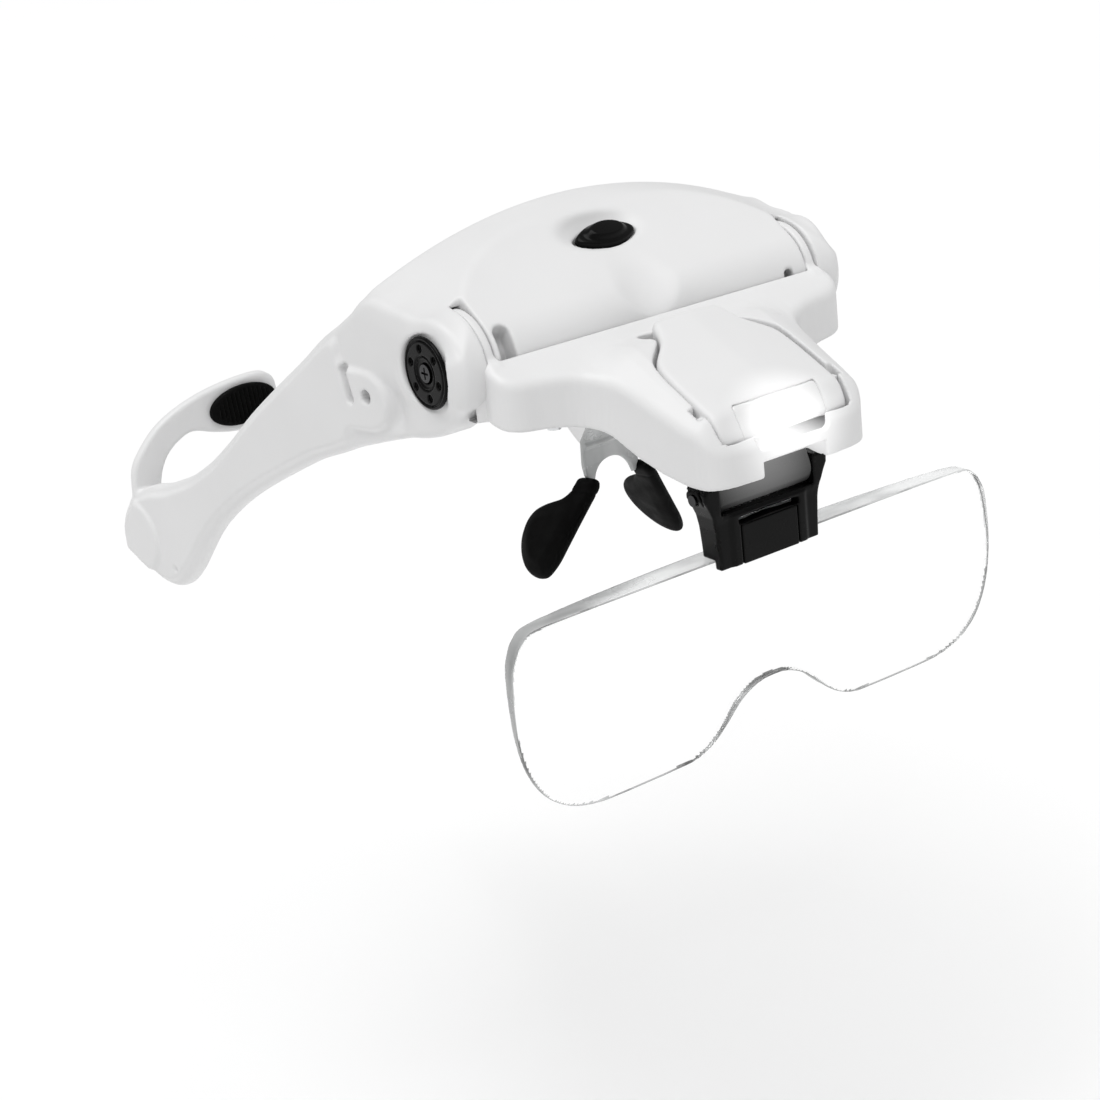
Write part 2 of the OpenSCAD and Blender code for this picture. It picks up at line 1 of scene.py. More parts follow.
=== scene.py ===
"""The looks of the head visor magnifier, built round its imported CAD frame.

Shapes are signed distance fields in millimetres in the part's drawing datum, which lies REST_Y in
front of the frame's origin at the forehead. net() meshes them and to_frame() puts them in metres.
The last number given to smin and smax is the width of the fillet between the two surfaces.
"""

import json
import math

import bmesh
import bpy
import numpy as np
from mathutils import Matrix, Vector


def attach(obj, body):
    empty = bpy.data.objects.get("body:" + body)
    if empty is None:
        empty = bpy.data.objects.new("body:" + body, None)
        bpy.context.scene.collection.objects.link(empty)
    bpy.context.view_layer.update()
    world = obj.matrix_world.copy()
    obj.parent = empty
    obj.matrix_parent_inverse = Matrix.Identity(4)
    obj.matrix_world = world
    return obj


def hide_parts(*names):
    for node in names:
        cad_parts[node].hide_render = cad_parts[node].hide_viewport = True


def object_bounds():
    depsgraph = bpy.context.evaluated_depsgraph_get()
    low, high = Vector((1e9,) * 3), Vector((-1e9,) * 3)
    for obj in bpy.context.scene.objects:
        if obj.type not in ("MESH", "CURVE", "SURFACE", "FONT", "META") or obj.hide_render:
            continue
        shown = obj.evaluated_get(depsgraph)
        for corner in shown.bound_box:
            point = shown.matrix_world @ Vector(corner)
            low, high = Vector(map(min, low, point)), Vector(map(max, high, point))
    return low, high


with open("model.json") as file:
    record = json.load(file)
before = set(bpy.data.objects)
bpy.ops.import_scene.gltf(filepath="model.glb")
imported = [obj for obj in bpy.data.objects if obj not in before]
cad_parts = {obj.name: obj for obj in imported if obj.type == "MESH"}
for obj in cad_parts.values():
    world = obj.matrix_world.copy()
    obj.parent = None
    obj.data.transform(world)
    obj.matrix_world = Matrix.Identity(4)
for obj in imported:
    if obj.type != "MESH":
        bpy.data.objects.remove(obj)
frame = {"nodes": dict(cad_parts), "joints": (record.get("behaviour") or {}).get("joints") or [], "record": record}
cad_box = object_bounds()
NODES = frame["nodes"]

MM = 0.001
REST_Y = 13.0


def drawn(pos_m):
    """A frame position's depth and height in the drawing's datum."""
    return pos_m[1] / MM + REST_Y, pos_m[2] / MM


JOINT_AT = {j["name"]: drawn(j["pos_m"]) for j in frame["joints"] if "pos_m" in j}
MOUNT_AT = {m["name"]: drawn(m["pos_m"]) for m in frame["record"]["mounts"]}
HINGE_Y = JOINT_AT["hood_tilt"][0]
PIVOT_Y, PIVOT_Z = JOINT_AT["lamp_tilt"]
FLIP_Y, FLIP_Z = JOINT_AT["bracket_flip"]
STRAP_HOLE = MOUNT_AT["strap_peg_left"]
DRUM_R = 13.9
BARREL_R = 14.0
FACE_SLOPE = math.radians(34.5)
HOOD_SLOPE = math.radians(25)
HOOD_TOP = 8.2
BARREL_OUT = 66.0
ARM_SPLAY = 0.15
EAR_X, EAR_HALF = 53.6, 1.3
SIDES = ((1, "left"), (-1, "right"))


# ---- Fields ----
def smin(a, b, k):
    """Joins two fields with a fillet of width k."""
    h = np.maximum(k - np.abs(a - b), 0) / k
    return np.minimum(a, b) - h * h * k / 4


def smax(a, b, k):
    """Keeps what two fields share, its edge rounded over a width k."""
    return -smin(-a, -b, k)


def ramp(v, a, b):
    """Rises smoothly from 0 at a to 1 at b."""
    t = np.clip((v - a) / (b - a), 0, 1)
    return t * t * (3 - 2 * t)


def box(x, y, z, lo, hi, r=0.0):
    q = [np.abs(v - (a + b) / 2) - (b - a) / 2 + r for v, a, b in zip((x, y, z), lo, hi)]
    out = np.sqrt(sum(np.maximum(v, 0) ** 2 for v in q))
    return out + np.minimum(np.maximum(np.maximum(q[0], q[1]), q[2]), 0) - r


def capsule(x, y, z, a, b, r):
    a, b = np.array(a, float), np.array(b, float)
    d = b - a
    px, py, pz = x - a[0], y - a[1], z - a[2]
    t = np.clip((px * d[0] + py * d[1] + pz * d[2]) / (d @ d), 0, 1)
    return np.sqrt((px - t * d[0]) ** 2 + (py - t * d[1]) ** 2 + (pz - t * d[2]) ** 2) - r


def ellipsoid(x, y, z, c, r):
    q = np.sqrt(((x - c[0]) / r[0]) ** 2 + ((y - c[1]) / r[1]) ** 2 + ((z - c[2]) / r[2]) ** 2)
    return (q - 1) * min(r)


def rounded(points, steps=4):
    """A closed smooth line through the points (Catmull-Rom)."""
    p = np.array(points, float)
    out = []
    for i in range(len(p)):
        a, b, c, d = p[i - 1], p[i], p[(i + 1) % len(p)], p[(i + 2) % len(p)]
        for t in np.arange(steps) / steps:
            out.append(0.5 * (2 * b + (c - a) * t + (2 * a - 5 * b + 4 * c - d) * t * t
                              + (3 * b - a - 3 * c + d) * t ** 3))
    return np.array(out)


class Outline:
    """The signed distance to a closed outline, sampled once on a lattice and read back smoothly."""

    def __init__(self, points, pitch=0.4, margin=14.0):
        p = np.array(points, float)
        self.low = p.min(0) - margin
        self.pitch = pitch
        n = np.ceil((p.max(0) + margin - self.low) / pitch).astype(int) + 1
        u = self.low[0] + np.arange(n[0]) * pitch
        v = self.low[1] + np.arange(n[1]) * pitch
        u, v = np.meshgrid(u, v, indexing="ij")
        best = np.full(u.shape, 1e9)
        inside = np.zeros(u.shape, bool)
        for a, b in zip(p, np.roll(p, -1, 0)):
            e = b - a
            t = np.clip(((u - a[0]) * e[0] + (v - a[1]) * e[1]) / max(e @ e, 1e-9), 0, 1)
            best = np.minimum(best, (u - a[0] - t * e[0]) ** 2 + (v - a[1] - t * e[1]) ** 2)
            cross = (a[1] > v) != (b[1] > v)
            with np.errstate(divide="ignore", invalid="ignore"):
                inside ^= cross & (u < (b[0] - a[0]) * (v - a[1]) / (b[1] - a[1]) + a[0])
        self.d = np.where(inside, -1, 1) * np.sqrt(best)

    def __call__(self, u, v):
        n, m = self.d.shape
        fu = np.clip((u - self.low[0]) / self.pitch, 0, n - 1.001)
        fv = np.clip((v - self.low[1]) / self.pitch, 0, m - 1.001)
        i, j = fu.astype(int), fv.astype(int)
        a, b = fu - i, fv - j
        d = self.d
        return ((d[i, j] * (1 - a) + d[i + 1, j] * a) * (1 - b)
                + (d[i, j + 1] * (1 - a) + d[i + 1, j + 1] * a) * b)


def net(field, low, high, pitch):
    """Vertices and faces of the surface where field is 0, from a lattice that is read only near it."""
    block, chunk = 8, 400
    low = np.array(low, float)
    count = (np.ceil((np.array(high, float) - low) / pitch / block).astype(int) + 1) * block
    near = count // block
    c = np.stack(np.meshgrid(*[(np.arange(n) + 0.5) * block for n in near], indexing="ij"), -1)
    mid = low + (c - 0.5) * pitch
    d = field(mid[..., 0], mid[..., 1], mid[..., 2])
    grid = np.repeat(np.repeat(np.repeat(np.sign(d).astype(np.float32) * 9, block, 0), block, 1),
                     block, 2)
    live = np.argwhere(np.abs(d) < block * pitch * 1.5)
    step = np.stack(np.meshgrid(*[np.arange(block)] * 3, indexing="ij"), -1).reshape(-1, 3)
    for part in np.array_split(live, max(1, len(live) // chunk)):
        at = (part[:, None, :] * block + step[None]).reshape(-1, 3)
        p = low + at * pitch
        grid[at[:, 0], at[:, 1], at[:, 2]] = field(p[:, 0], p[:, 1], p[:, 2])
    inside = grid < 0
    cell = np.zeros(tuple(n - 1 for n in grid.shape), np.int8)
    corners = [(i, j, k) for i in (0, 1) for j in (0, 1) for k in (0, 1)]
    cut = [slice(None, -1), slice(1, None)]
    for i, j, k in corners:
        cell += inside[cut[i], cut[j], cut[k]]
    used = np.argwhere((cell > 0) & (cell < 8))
    number = np.full(cell.shape, -1, np.int32)
    number[used[:, 0], used[:, 1], used[:, 2]] = np.arange(len(used))
    value = {q: grid[used[:, 0] + q[0], used[:, 1] + q[1], used[:, 2] + q[2]] for q in corners}
    total, hits = np.zeros((len(used), 3)), np.zeros(len(used))
    for a in corners:
        for axis in range(3):
            if a[axis]:
                continue
            b = tuple(1 if n == axis else q for n, q in enumerate(a))
            va, vb = value[a], value[b]
            crosses = (va < 0) != (vb < 0)
            t = np.where(crosses, va / np.where(crosses, va - vb, 1), 0)
            for n in range(3):
                total[:, n] += np.where(crosses, a[n] + (t if n == axis else 0), 0)
            hits += crosses
    verts = low + (used + total / hits[:, None]) * pitch
    # Two Newton steps settle the vertices on the surface.
    e = pitch * 0.2
    for _ in range(2):
        g = np.stack([field(*(verts + s).T) - field(*(verts - s).T) for s in np.eye(3) * e], 1) / (2 * e)
        f = field(*verts.T)
        move = -g * (f / np.maximum((g * g).sum(1), 0.2))[:, None]
        size = np.linalg.norm(move, axis=1, keepdims=True)
        verts = verts + move * np.minimum(1, 0.5 * pitch / np.maximum(size, 1e-9))
    faces = []
    for axis in range(3):
        u, v = [n for n in range(3) if n != axis]
        first = [slice(None)] * 3
        second = [slice(None)] * 3
        first[axis], second[axis] = slice(None, -1), slice(1, None)
        change = inside[tuple(first)] != inside[tuple(second)]
        at = np.argwhere(change)
        at = at[(at[:, u] > 0) & (at[:, v] > 0) & (at[:, u] < cell.shape[u]) & (at[:, v] < cell.shape[v])]
        ring = []
        for du, dv in ((-1, -1), (0, -1), (0, 0), (-1, 0)):
            q = at.copy()
            q[:, u] += du
            q[:, v] += dv
            ring.append(number[q[:, 0], q[:, 1], q[:, 2]])
        quad = np.stack(ring, 1)
        out = inside[at[:, 0], at[:, 1], at[:, 2]]
        if axis == 1:
            out = ~out
        quad[~out] = quad[~out][:, ::-1]
        faces.append(quad[(quad >= 0).all(1)])
    return verts, np.concatenate(faces)


def to_frame(v):
    return (np.asarray(v, float) - [0, REST_Y, 0]) * MM


def mesh_piece(name, verts, faces, body, material, slot, stands_for=()):
    mesh = bpy.data.meshes.new(name)
    mesh.from_pydata(to_frame(verts).tolist(), [], np.asarray(faces).tolist())
    mesh.update()
    mesh.shade_smooth()
    mesh.materials.append(material)
    o = bpy.data.objects.new(name, mesh)
    bpy.context.scene.collection.objects.link(o)
    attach(o, body)
    if stands_for:
        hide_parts(*stands_for)
    return o


def field_piece(name, field, low, high, pitch, body, material, slot, stands_for=()):
    verts, faces = net(field, low, high, pitch)
    return mesh_piece(name, verts, faces, body, material, slot, stands_for)


# ---- Materials ----
# The part of a noise's 0 to 1 that most of its values fall in.
NOISE_SPAN = (0.3, 0.7)


class Look:
    """A Principled material with its own small node graph."""

    def __init__(self, name, color, roughness, **sockets):
        self.m = bpy.data.materials.new(name)
        self.m.use_nodes = True
        self.tree = self.m.node_tree
        self.shader = self.tree.nodes["Principled BSDF"]
        self.shader.inputs["Base Color"].default_value = (*color, 1)
        self.shader.inputs["Roughness"].default_value = roughness
        for k, v in sockets.items():
            self.shader.inputs[k.replace("_", " ")].default_value = v
        self.place = self.tree.nodes.new("ShaderNodeTexCoord").outputs["Object"]
        self.normal = None

    def noise(self, scale, detail=4, stretch=(1, 1, 1)):
        m = self.tree.nodes.new("ShaderNodeMapping")
        m.inputs["Scale"].default_value = stretch
        self.tree.links.new(self.place, m.inputs["Vector"])
        n = self.tree.nodes.new("ShaderNodeTexNoise")
        n.inputs["Scale"].default_value = scale
        n.inputs["Detail"].default_value = detail
        self.tree.links.new(m.outputs["Vector"], n.inputs["Vector"])
        return n.outputs["Fac"]

    def span(self, source, low, high, target):
        """Maps a noise value onto a number socket."""
        r = self.tree.nodes.new("ShaderNodeMapRange")
        r.inputs["From Min"].default_value, r.inputs["From Max"].default_value = NOISE_SPAN
        r.inputs["To Min"].default_value, r.inputs["To Max"].default_value = low, high
        self.tree.links.new(source, r.inputs["Value"])
        self.tree.links.new(r.outputs["Result"], self.shader.inputs[target])
        return self

    def tint(self, source, a, b, frm=NOISE_SPAN):
        """Blends the base colour from a to b with a noise value."""
        ramp_node = self.tree.nodes.new("ShaderNodeValToRGB")
        ramp_node.color_ramp.elements[0].position, ramp_node.color_ramp.elements[1].position = frm
        ramp_node.color_ramp.elements[0].color = (*a, 1)
        ramp_node.color_ramp.elements[1].color = (*b, 1)
        self.tree.links.new(source, ramp_node.inputs["Fac"])
        self.tree.links.new(ramp_node.outputs["Color"], self.shader.inputs["Base Color"])
        return self

    def paint_lamp_glow(self, centre, near, far, strength):
        """Painted glow of the lamp's light: emission that fades with the distance from the lamp's heart."""
        d = self.tree.nodes.new("ShaderNodeVectorMath")
        d.operation = "DISTANCE"
        d.inputs[1].default_value = centre
        self.tree.links.new(self.place, d.inputs[0])
        r = self.tree.nodes.new("ShaderNodeMapRange")
        r.interpolation_type = "SMOOTHSTEP"
        r.inputs["From Min"].default_value, r.inputs["From Max"].default_value = near, far
        r.inputs["To Min"].default_value, r.inputs["To Max"].default_value = strength, 0
        self.tree.links.new(d.outputs["Value"], r.inputs["Value"])
        self.tree.links.new(r.outputs["Result"], self.shader.inputs["Emission Strength"])
        self.shader.inputs["Emission Color"].default_value = (1, 1, 1, 1)
        return self

    def bump(self, source, strength, distance):
        b = self.tree.nodes.new("ShaderNodeBump")
        b.inputs["Strength"].default_value = strength
        b.inputs["Distance"].default_value = distance
        self.tree.links.new(source, b.inputs["Height"])
        if self.normal:
            self.tree.links.new(self.normal, b.inputs["Normal"])
        self.normal = b.outputs["Normal"]
        self.tree.links.new(self.normal, self.shader.inputs["Normal"])
        return self


# Where the lamp's light comes from, the centre of its painted glow, in the frame's metres.
LAMP_HEART = (0.0005, -0.0945, -0.0205)


def make_white(name, lit=False):
    k = Look(name, (0.75, 0.75, 0.75), 0.42, Specular_IOR_Level=0.35)
    # The glowing copy has the lamp's light painted on as a glow round the lamp.
    if lit:
        k.paint_lamp_glow(LAMP_HEART, 0.003, 0.021, 0.45)
    k.tint(k.noise(22, 3), (0.735, 0.735, 0.737), (0.765, 0.765, 0.767))
    k.span(k.noise(60, 4), 0.38, 0.5, "Roughness")
    k.bump(k.noise(2600, 2), 0.12, 0.00006).bump(k.noise(90, 2), 0.05, 0.0002)
    return k.m


def make_black(name, lit=False):
    k = Look(name, (0.003, 0.003, 0.003), 0.3, Specular_IOR_Level=0.09)
    # The glowing copy has the lamp's light painted on as a glow round the lamp.
    if lit:
        k.paint_lamp_glow(LAMP_HEART, 0.008, 0.03, 0.35)
    k.tint(k.noise(40, 3), (0.002, 0.002, 0.002), (0.005, 0.005, 0.005))
    k.span(k.noise(120, 4), 0.22, 0.36, "Roughness")
    k.bump(k.noise(2200, 2), 0.12, 0.00006)
    return k.m


def make_rubber():
    k = Look("black_rubber", (0.003, 0.003, 0.003), 0.62, Specular_IOR_Level=0.05)
    k.tint(k.noise(50, 4), (0.002, 0.002, 0.002), (0.004, 0.004, 0.004))
    k.span(k.noise(200, 4), 0.5, 0.72, "Roughness")
    k.bump(k.noise(1500, 3), 0.3, 0.0001)
    return k.m


def make_foam():
    k = Look("dark_foam", (0.03, 0.03, 0.032), 0.95, Specular_IOR_Level=0.15)
    k.tint(k.noise(700, 5), (0.014, 0.014, 0.015), (0.05, 0.05, 0.053))
    k.bump(k.noise(900, 5), 0.9, 0.0006)
    return k.m


def make_clear():
    k = Look("clear_acrylic", (1, 1, 1), 0.0, IOR=1.49, Transmission_Weight=1.0, Specular_IOR_Level=0.3)
    k.span(k.noise(30, 2), 0.0, 0.02, "Roughness")
    return k.m


def make_rim():
    k = Look("satin_rim_painted_streaks", (0.93, 0.94, 0.94), 0.3, IOR=1.49, Transmission_Weight=0.55)
    # The grey streaks are painted reflections of the lens's thick edge.
    k.tint(k.noise(38, 2, (1, 3, 1)), (0.6, 0.61, 0.61), (0.95, 0.96, 0.96), (0.34, 0.56))
    k.span(k.noise(60, 2), 0.16, 0.3, "Roughness")
    k.bump(k.noise(90, 2), 0.1, 0.0002)
    return k.m


# Painted shade: the dark line that the clear lens shows along its bevel and lower edge.
def make_edge_shade():
    k = Look("lens_edge_painted_shade", (0.3, 0.31, 0.31), 0.2, IOR=1.49, Transmission_Weight=0.3)
    k.tint(k.noise(45, 3), (0.06, 0.06, 0.06), (0.62, 0.63, 0.63), (0.34, 0.62))
    k.span(k.noise(300, 3), 0.12, 0.3, "Roughness")
    return k.m


def make_glow():
    k = Look("lit_window", (0.78, 0.78, 0.78), 0.12, IOR=1.49, Transmission_Weight=0.06)
    k.span(k.noise(200, 2), 0.08, 0.18, "Roughness")
    k.bump(k.noise(300, 2, (1, 0.2, 0.2)), 0.1, 0.0002)
    # The window is painted with the lamp's glow, brightest at its heart.
    k.paint_lamp_glow(LAMP_HEART, 0.003, 0.019, 0.6)
    return k.m


def make_metal(name, color, roughness):
    k = Look(name, color, roughness, Metallic=1.0)
    k.tint(k.noise(90, 3), tuple(c * 0.9 for c in color), color)
    k.span(k.noise(500, 4), roughness * 0.75, roughness * 1.35, "Roughness")
    k.bump(k.noise(900, 3), 0.15, 0.00006)
    return k.m


def make_saddle():
    k = Look("smoky_saddle", (0.42, 0.43, 0.44), 0.2, Transmission_Weight=0.12, IOR=1.49)
    k.tint(k.noise(120, 3, (1, 1, 0.3)), (0.40, 0.41, 0.41), (0.62, 0.63, 0.63))
    k.span(k.noise(300, 4), 0.14, 0.3, "Roughness")
    k.bump(k.noise(220, 3), 0.2, 0.0003)
    return k.m


def make_cell():
    k = Look("cell_sleeve", (0.06, 0.16, 0.11), 0.3, Metallic=0.4)
    k.tint(k.noise(60, 2), (0.05, 0.14, 0.1), (0.08, 0.2, 0.14))
    k.bump(k.noise(500, 2), 0.05, 0.0001)
    return k.m


def make_board():
    k = Look("green_board", (0.03, 0.16, 0.07), 0.4)
    k.tint(k.noise(300, 3), (0.02, 0.12, 0.05), (0.04, 0.2, 0.09))
    k.bump(k.noise(800, 2), 0.2, 0.0001)
    return k.m


def make_led():
    k = Look("lit_led", (1, 0.99, 0.94), 0.2)
    k.tint(k.noise(300, 2), (0.95, 0.95, 0.9), (1, 1, 0.97))
    k.shader.inputs["Emission Color"].default_value = (1, 0.99, 0.96, 1)
    k.shader.inputs["Emission Strength"].default_value = 30.0
    return k.m


WHITE, BLACK, RUBBER, FOAM = make_white("white_abs"), make_black("black_abs"), make_rubber(), make_foam()
# Copies of the white and black plastics with a painted glow of the lamp's light round it.
WHITE_GLOW_PAINTED = make_white("white_abs_glow_painted", lit=True)
BLACK_GLOW_PAINTED = make_black("black_abs_glow_painted", lit=True)
CLEAR, RIM, EDGE_SHADE, GLOW, SADDLE = make_clear(), make_rim(), make_edge_shade(), make_glow(), make_saddle()
STEEL = make_metal("plated_steel", (0.7, 0.71, 0.72), 0.22)
DARK_STEEL = make_metal("blacked_steel", (0.05, 0.05, 0.052), 0.3)
BRIGHT = make_metal("bright_reflector", (0.9, 0.9, 0.91), 0.08)
CELL, BOARD, LED = make_cell(), make_board(), make_led()
SLOT_LOOKS = {
    "white_plastic": WHITE, "black_plastic": BLACK, "soft_rubber": RUBBER, "foam": FOAM,
    "clear_acrylic": CLEAR, "nose_saddle": SADDLE, "sprung_metal": STEEL, "cell_jacket": CELL,
    "circuit_board": BOARD, "reflector": BRIGHT, "led": LED,
}
DARK_NODES = ("pivot_screws", "bracket_pins")
for part in frame["record"]["subparts"]:
    data = NODES[part["node"]].data
    data.materials.clear()
    data.materials.append(DARK_STEEL if part["node"] in DARK_NODES else SLOT_LOOKS[part["material_slot"]])


# ---- Headset ----
CREASE_SPAN = 50.0
FACE_MIDDLE = (-11, 21.5)
RIM_Y, CROWN_BACK, CROWN_FLOOR, CROWN_HALF = 9.4, 11.6, -7.9, 65.3
BUTTON_W, BUTTON_D = 21.0, 8.6
BUTTON_GAP, BUTTON_WELL = 0.9, 4.9


def crease(ax):
    """Depth and height of the line where the crown's top meets its front face."""
    u = (ax / CREASE_SPAN) ** 2
    return -20.1 * u + 3.9 * u * u, 28 - 4.55 * u - 5.58 * u * u


def face_local(x, y, z):
    """Across, up the slope and out of the crown's front face, from its middle."""
    c, s = math.cos(FACE_SLOPE), math.sin(FACE_SLOPE)
    dy, dz = y - FACE_MIDDLE[0], z - FACE_MIDDLE[1]
    return x, dy * c + dz * s, -dy * s + dz * c


def almond(u, v, w, d):
    """Two arcs that meet in soft tips, w across and d deep."""
    r = (w * w / 4 + d * d / 4) / d
    return smax(np.hypot(u, v - (d / 2 - r)) - r, np.hypot(u, v + (d / 2 - r)) - r, 2.6)


# The arm's side outline, from the barrel to the foot: depth, top, bottom and thickness.
ARM_ROWS = np.array([
    (-3.3, 14.6, -20.5, 10.5), (4.7, 15.9, -22.5, 10.5), (11.5, 13.2, -24.4, 10), (20, 7.9, -26.9, 8.5),
    (28.5, 2.9, -30, 7.2), (38.5, -4.3, -33.5, 6.4), (52.7, -13.9, -40.1, 6), (66.7, -23.8, -47.1, 5.8),
    (78.1, -32.9, -53.7, 5.8), (88.7, -40.7, -61.1, 6), (95.9, -45.1, -67.3, 6.2),
    (102.3, -48.5, -74.1, 6.4), (109.5, -51.3, -81.7, 6.6), (117.5, -54, -87.4, 6.8),
    (126.1, -55.9, -87.8, 6.8), (134, -59.3, -84.9, 6.6), (140.2, -65.1, -81.6, 6.2),
    (143.6, -71.4, -79.6, 5.6)])
ARM_Y, ARM_TOP, ARM_LOW, ARM_WIDE = ARM_ROWS.T
ROUND_BARREL = [(-15, -18.2), (-20, -16.2), (-25, -11.5), (-22, -2), (-14, 12.5)]
ARM = Outline(rounded(list(zip(ARM_Y, ARM_TOP)) + list(zip(ARM_Y, ARM_LOW))[::-1] + ROUND_BARREL))
ARM_LIMIT = 87.9
PANEL_INSET, PANEL_STEP = 2.7, 1.5
FOOT_DOME, FOOT_DOME_R = (134.5, -73), 12
HOOK = Outline(rounded([
    (84.0, -66), (85.2, -61.3), (84.2, -52.5), (80.7, -47), (74.5, -41.1), (66.5, -36.9), (56.7, -33.9),
    (46.4, -32.3), (37.6, -32), (33.8, -33.2), (31.4, -36.2), (31.4, -42.3), (34.2, -46.7), (39.7, -49.2),
    (47.7, -49.2), (55.1, -47.6), (62.2, -45.4), (67.4, -47.1), (71.9, -50.5), (74.8, -55.5),
    (76.3, -61.3), (77.5, -66)]))
HOOK_Y, HOOK_HALF = 135.2, 1.7
STRAP_SLOT, STRAP_LEAN = (17.5, -7.9), math.radians(14)
GROOVE_X, GROOVE_HALF, EAR_GAP = 53.55, 1.65, 0.45
CAP_RECESS_R, CAP_SEAT = 10.05, 63.6
DIMPLE = (116.4, -80.8)


def crown_band(x, y, z):
    """The crown's sloping front, round below, and its top."""
    ax = np.abs(x)
    cy, cz = crease(np.minimum(ax, 62))
    dy = y - HINGE_Y
    n = (-math.sin(FACE_SLOPE), math.cos(FACE_SLOPE))
    plane = dy * n[0] + z * n[1] - DRUM_R
    drum = np.hypot(np.minimum(dy, 0), z) - DRUM_R
    front = np.where(np.arctan2(z, -dy) > math.pi / 2 - FACE_SLOPE, plane, drum)
    rim = 30.5 - 8.6 * (ax / CREASE_SPAN) ** 2
    slope = (rim - cz) / (RIM_Y - cy)
    t = (y - cy) / (RIM_Y - cy)
    top = (z - cz - (y - cy) * slope - 1.2 * t * (1 - t)) / np.sqrt(1 + slope ** 2)
    d = smax(front, top, 0.9)
    d = smax(d, y - CROWN_BACK + 0.035 * (20 - z), 4.0)
    d = smax(d, CROWN_FLOOR - z, 0.8)
    return smax(d, ax - CROWN_HALF, 6.0)


def arm_face(y):
    """How far out the arm's face is, at a depth."""
    return BARREL_OUT + ARM_SPLAY * (y - ARM_Y[0])


def arm_side(x, y, z):
    """A barrel with its arm and hook."""
    ax = np.abs(x)
    r = np.hypot(y - HINGE_Y, z)
    barrel = r - BARREL_R
    side = smin(ARM(y, z), barrel, 2.5)
    # The raised panel begins round the strap hole and keeps clear of the arm's edges.
    hy, hz = STRAP_HOLE
    front = smin(20.5 - y, np.hypot(np.maximum(hy - y, 0), z - hz + 1.5) - 8.2, 4)
    panel = smax(ARM(y, z) + PANEL_INSET, front, 3)
    outer = arm_face(y) - PANEL_STEP * ramp(panel, -0.9, 1.1) * ramp(y, -12, -2)
    valley = np.exp(-((y - 0.5) / 4.2) ** 2) * ramp(z, 3, -7) * ramp(z, -21, -14)
    outer = outer - 2.0 * valley * ramp(panel, -1, 2) * ramp(barrel, -0.5, 1.5)
    dome = np.hypot((y - FOOT_DOME[0]) / FOOT_DOME_R, (z - FOOT_DOME[1]) / FOOT_DOME_R)
    outer = np.minimum(outer + 0.9 * ramp(dome, 1.04, 0.9), ARM_LIMIT)
    inner = arm_face(y) - np.interp(y, ARM_Y, ARM_WIDE)
    d = smax(side, ax - outer, 2.6)
    # The barrel is open towards the ear ring, and closed where it lies outside the ring.
    below = ramp(r, 14.2, 14.8) * ((y > -17) | (z < -8))
    d = smax(d, np.where(y < -3, GROOVE_X + GROOVE_HALF - 3.2 * below, inner) - ax, 2.2)
    hook = smax(HOOK(ax, z), np.abs(y - HOOK_Y) - HOOK_HALF, 1.3)
    return smin(d, hook, 1.6)


def headset(x, y, z):
    ax = np.abs(x)
    r = np.hypot(y - HINGE_Y, z)
    d = smin(crown_band(x, y, z), arm_side(x, y, z), 4.0)
    # Room for the hood's ear rings, with its small notch at the top.
    aside = np.abs(ax - GROOVE_X) - GROOVE_HALF
    groove = smax(aside, r - (BARREL_R + EAR_GAP), 0.4)
    notch = np.hypot(np.maximum(y + 18.6, 0), ax - GROOVE_X) - GROOVE_HALF
    groove = np.minimum(groove, smax(notch, 9 - z, 0.3))
    d = smax(d, -groove, 0.5)
    # The front of the crown between the rings, cut open for the hood.
    d = smax(d, -smax(smax(aside, y + 17, 0.3), -8 - z, 0.3), 0.5)
    # Finger scoop behind the button, and its hole.
    u, v, w = face_local(x, y, z)
    d = smax(d, -ellipsoid(u, v, w, (-1, 2.4, 3.4), (15.5, 8.8, 6.3)), 1.0)
    well = almond(u, v, BUTTON_W + BUTTON_GAP, BUTTON_D + BUTTON_GAP)
    d = smax(d, -smax(well, -BUTTON_WELL - w, 0.3), 0.5)
    # Slot for the lamp lead, and its short mate on the other side.
    around = DRUM_R * np.arctan2(z, -(y - HINGE_Y))
    slot = np.hypot(x + 47.9, np.maximum(around - 8.9, 0)) - 2.35
    mate = np.hypot(x - 45.4, np.maximum(around - 2.6, 0)) - 1.5
    d = smax(d, -smax(smax(np.minimum(slot, mate), 8.2 - r, 0.3), y + 12, 0.3), 0.6)
    # Battery bay.
    d = smax(d, -box(x, y, z, (-46.4, -13, -20), (46.4, 4, 8.6), 0.5), 0.4)
    # Pivot cap recess and strap openings.
    d = smax(d, -smax(r - CAP_RECESS_R, CAP_SEAT - ax, 0.3), 0.9)
    hy, hz = STRAP_HOLE
    d = smax(d, -smax(np.hypot(y - hy, z - hz) - 2.0, arm_face(y) - 6 - ax, 0.3), 0.5)
    sy, sz = STRAP_SLOT
    c, s = math.cos(STRAP_LEAN), math.sin(STRAP_LEAN)
    across, along = (y - sy) * c - (z - sz) * s, (y - sy) * s + (z - sz) * c
    strap = np.hypot(across, np.maximum(np.abs(along) - 4, 0)) - 1.5
    d = smax(d, -smax(strap, arm_face(y) - 3 - ax, 0.3), 0.5)
    # Small moulding dimple near the foot.
    away = (y - DIMPLE[0]) ** 2 + (z - DIMPLE[1]) ** 2 + (ax - arm_face(y) - 0.3) ** 2
    return smax(d, 1.1 - np.sqrt(away), 0.5)


field_piece("headset_moulding", headset, (-88.5, -34, -90), (88.5, 145.5, 33), 0.62, "headset",
            WHITE, "white_plastic",
            ("crown_shell", "brow_band", "hinge_barrel_left", "hinge_barrel_right", "arm_left",
             "arm_right", "hook_left", "hook_right"))


# ---- Hood ----
def both_sides(half):
    """A closed outline from its +X half, listed away from the middle and back."""
    return half + [(-u, v) for u, v in half[::-1]]


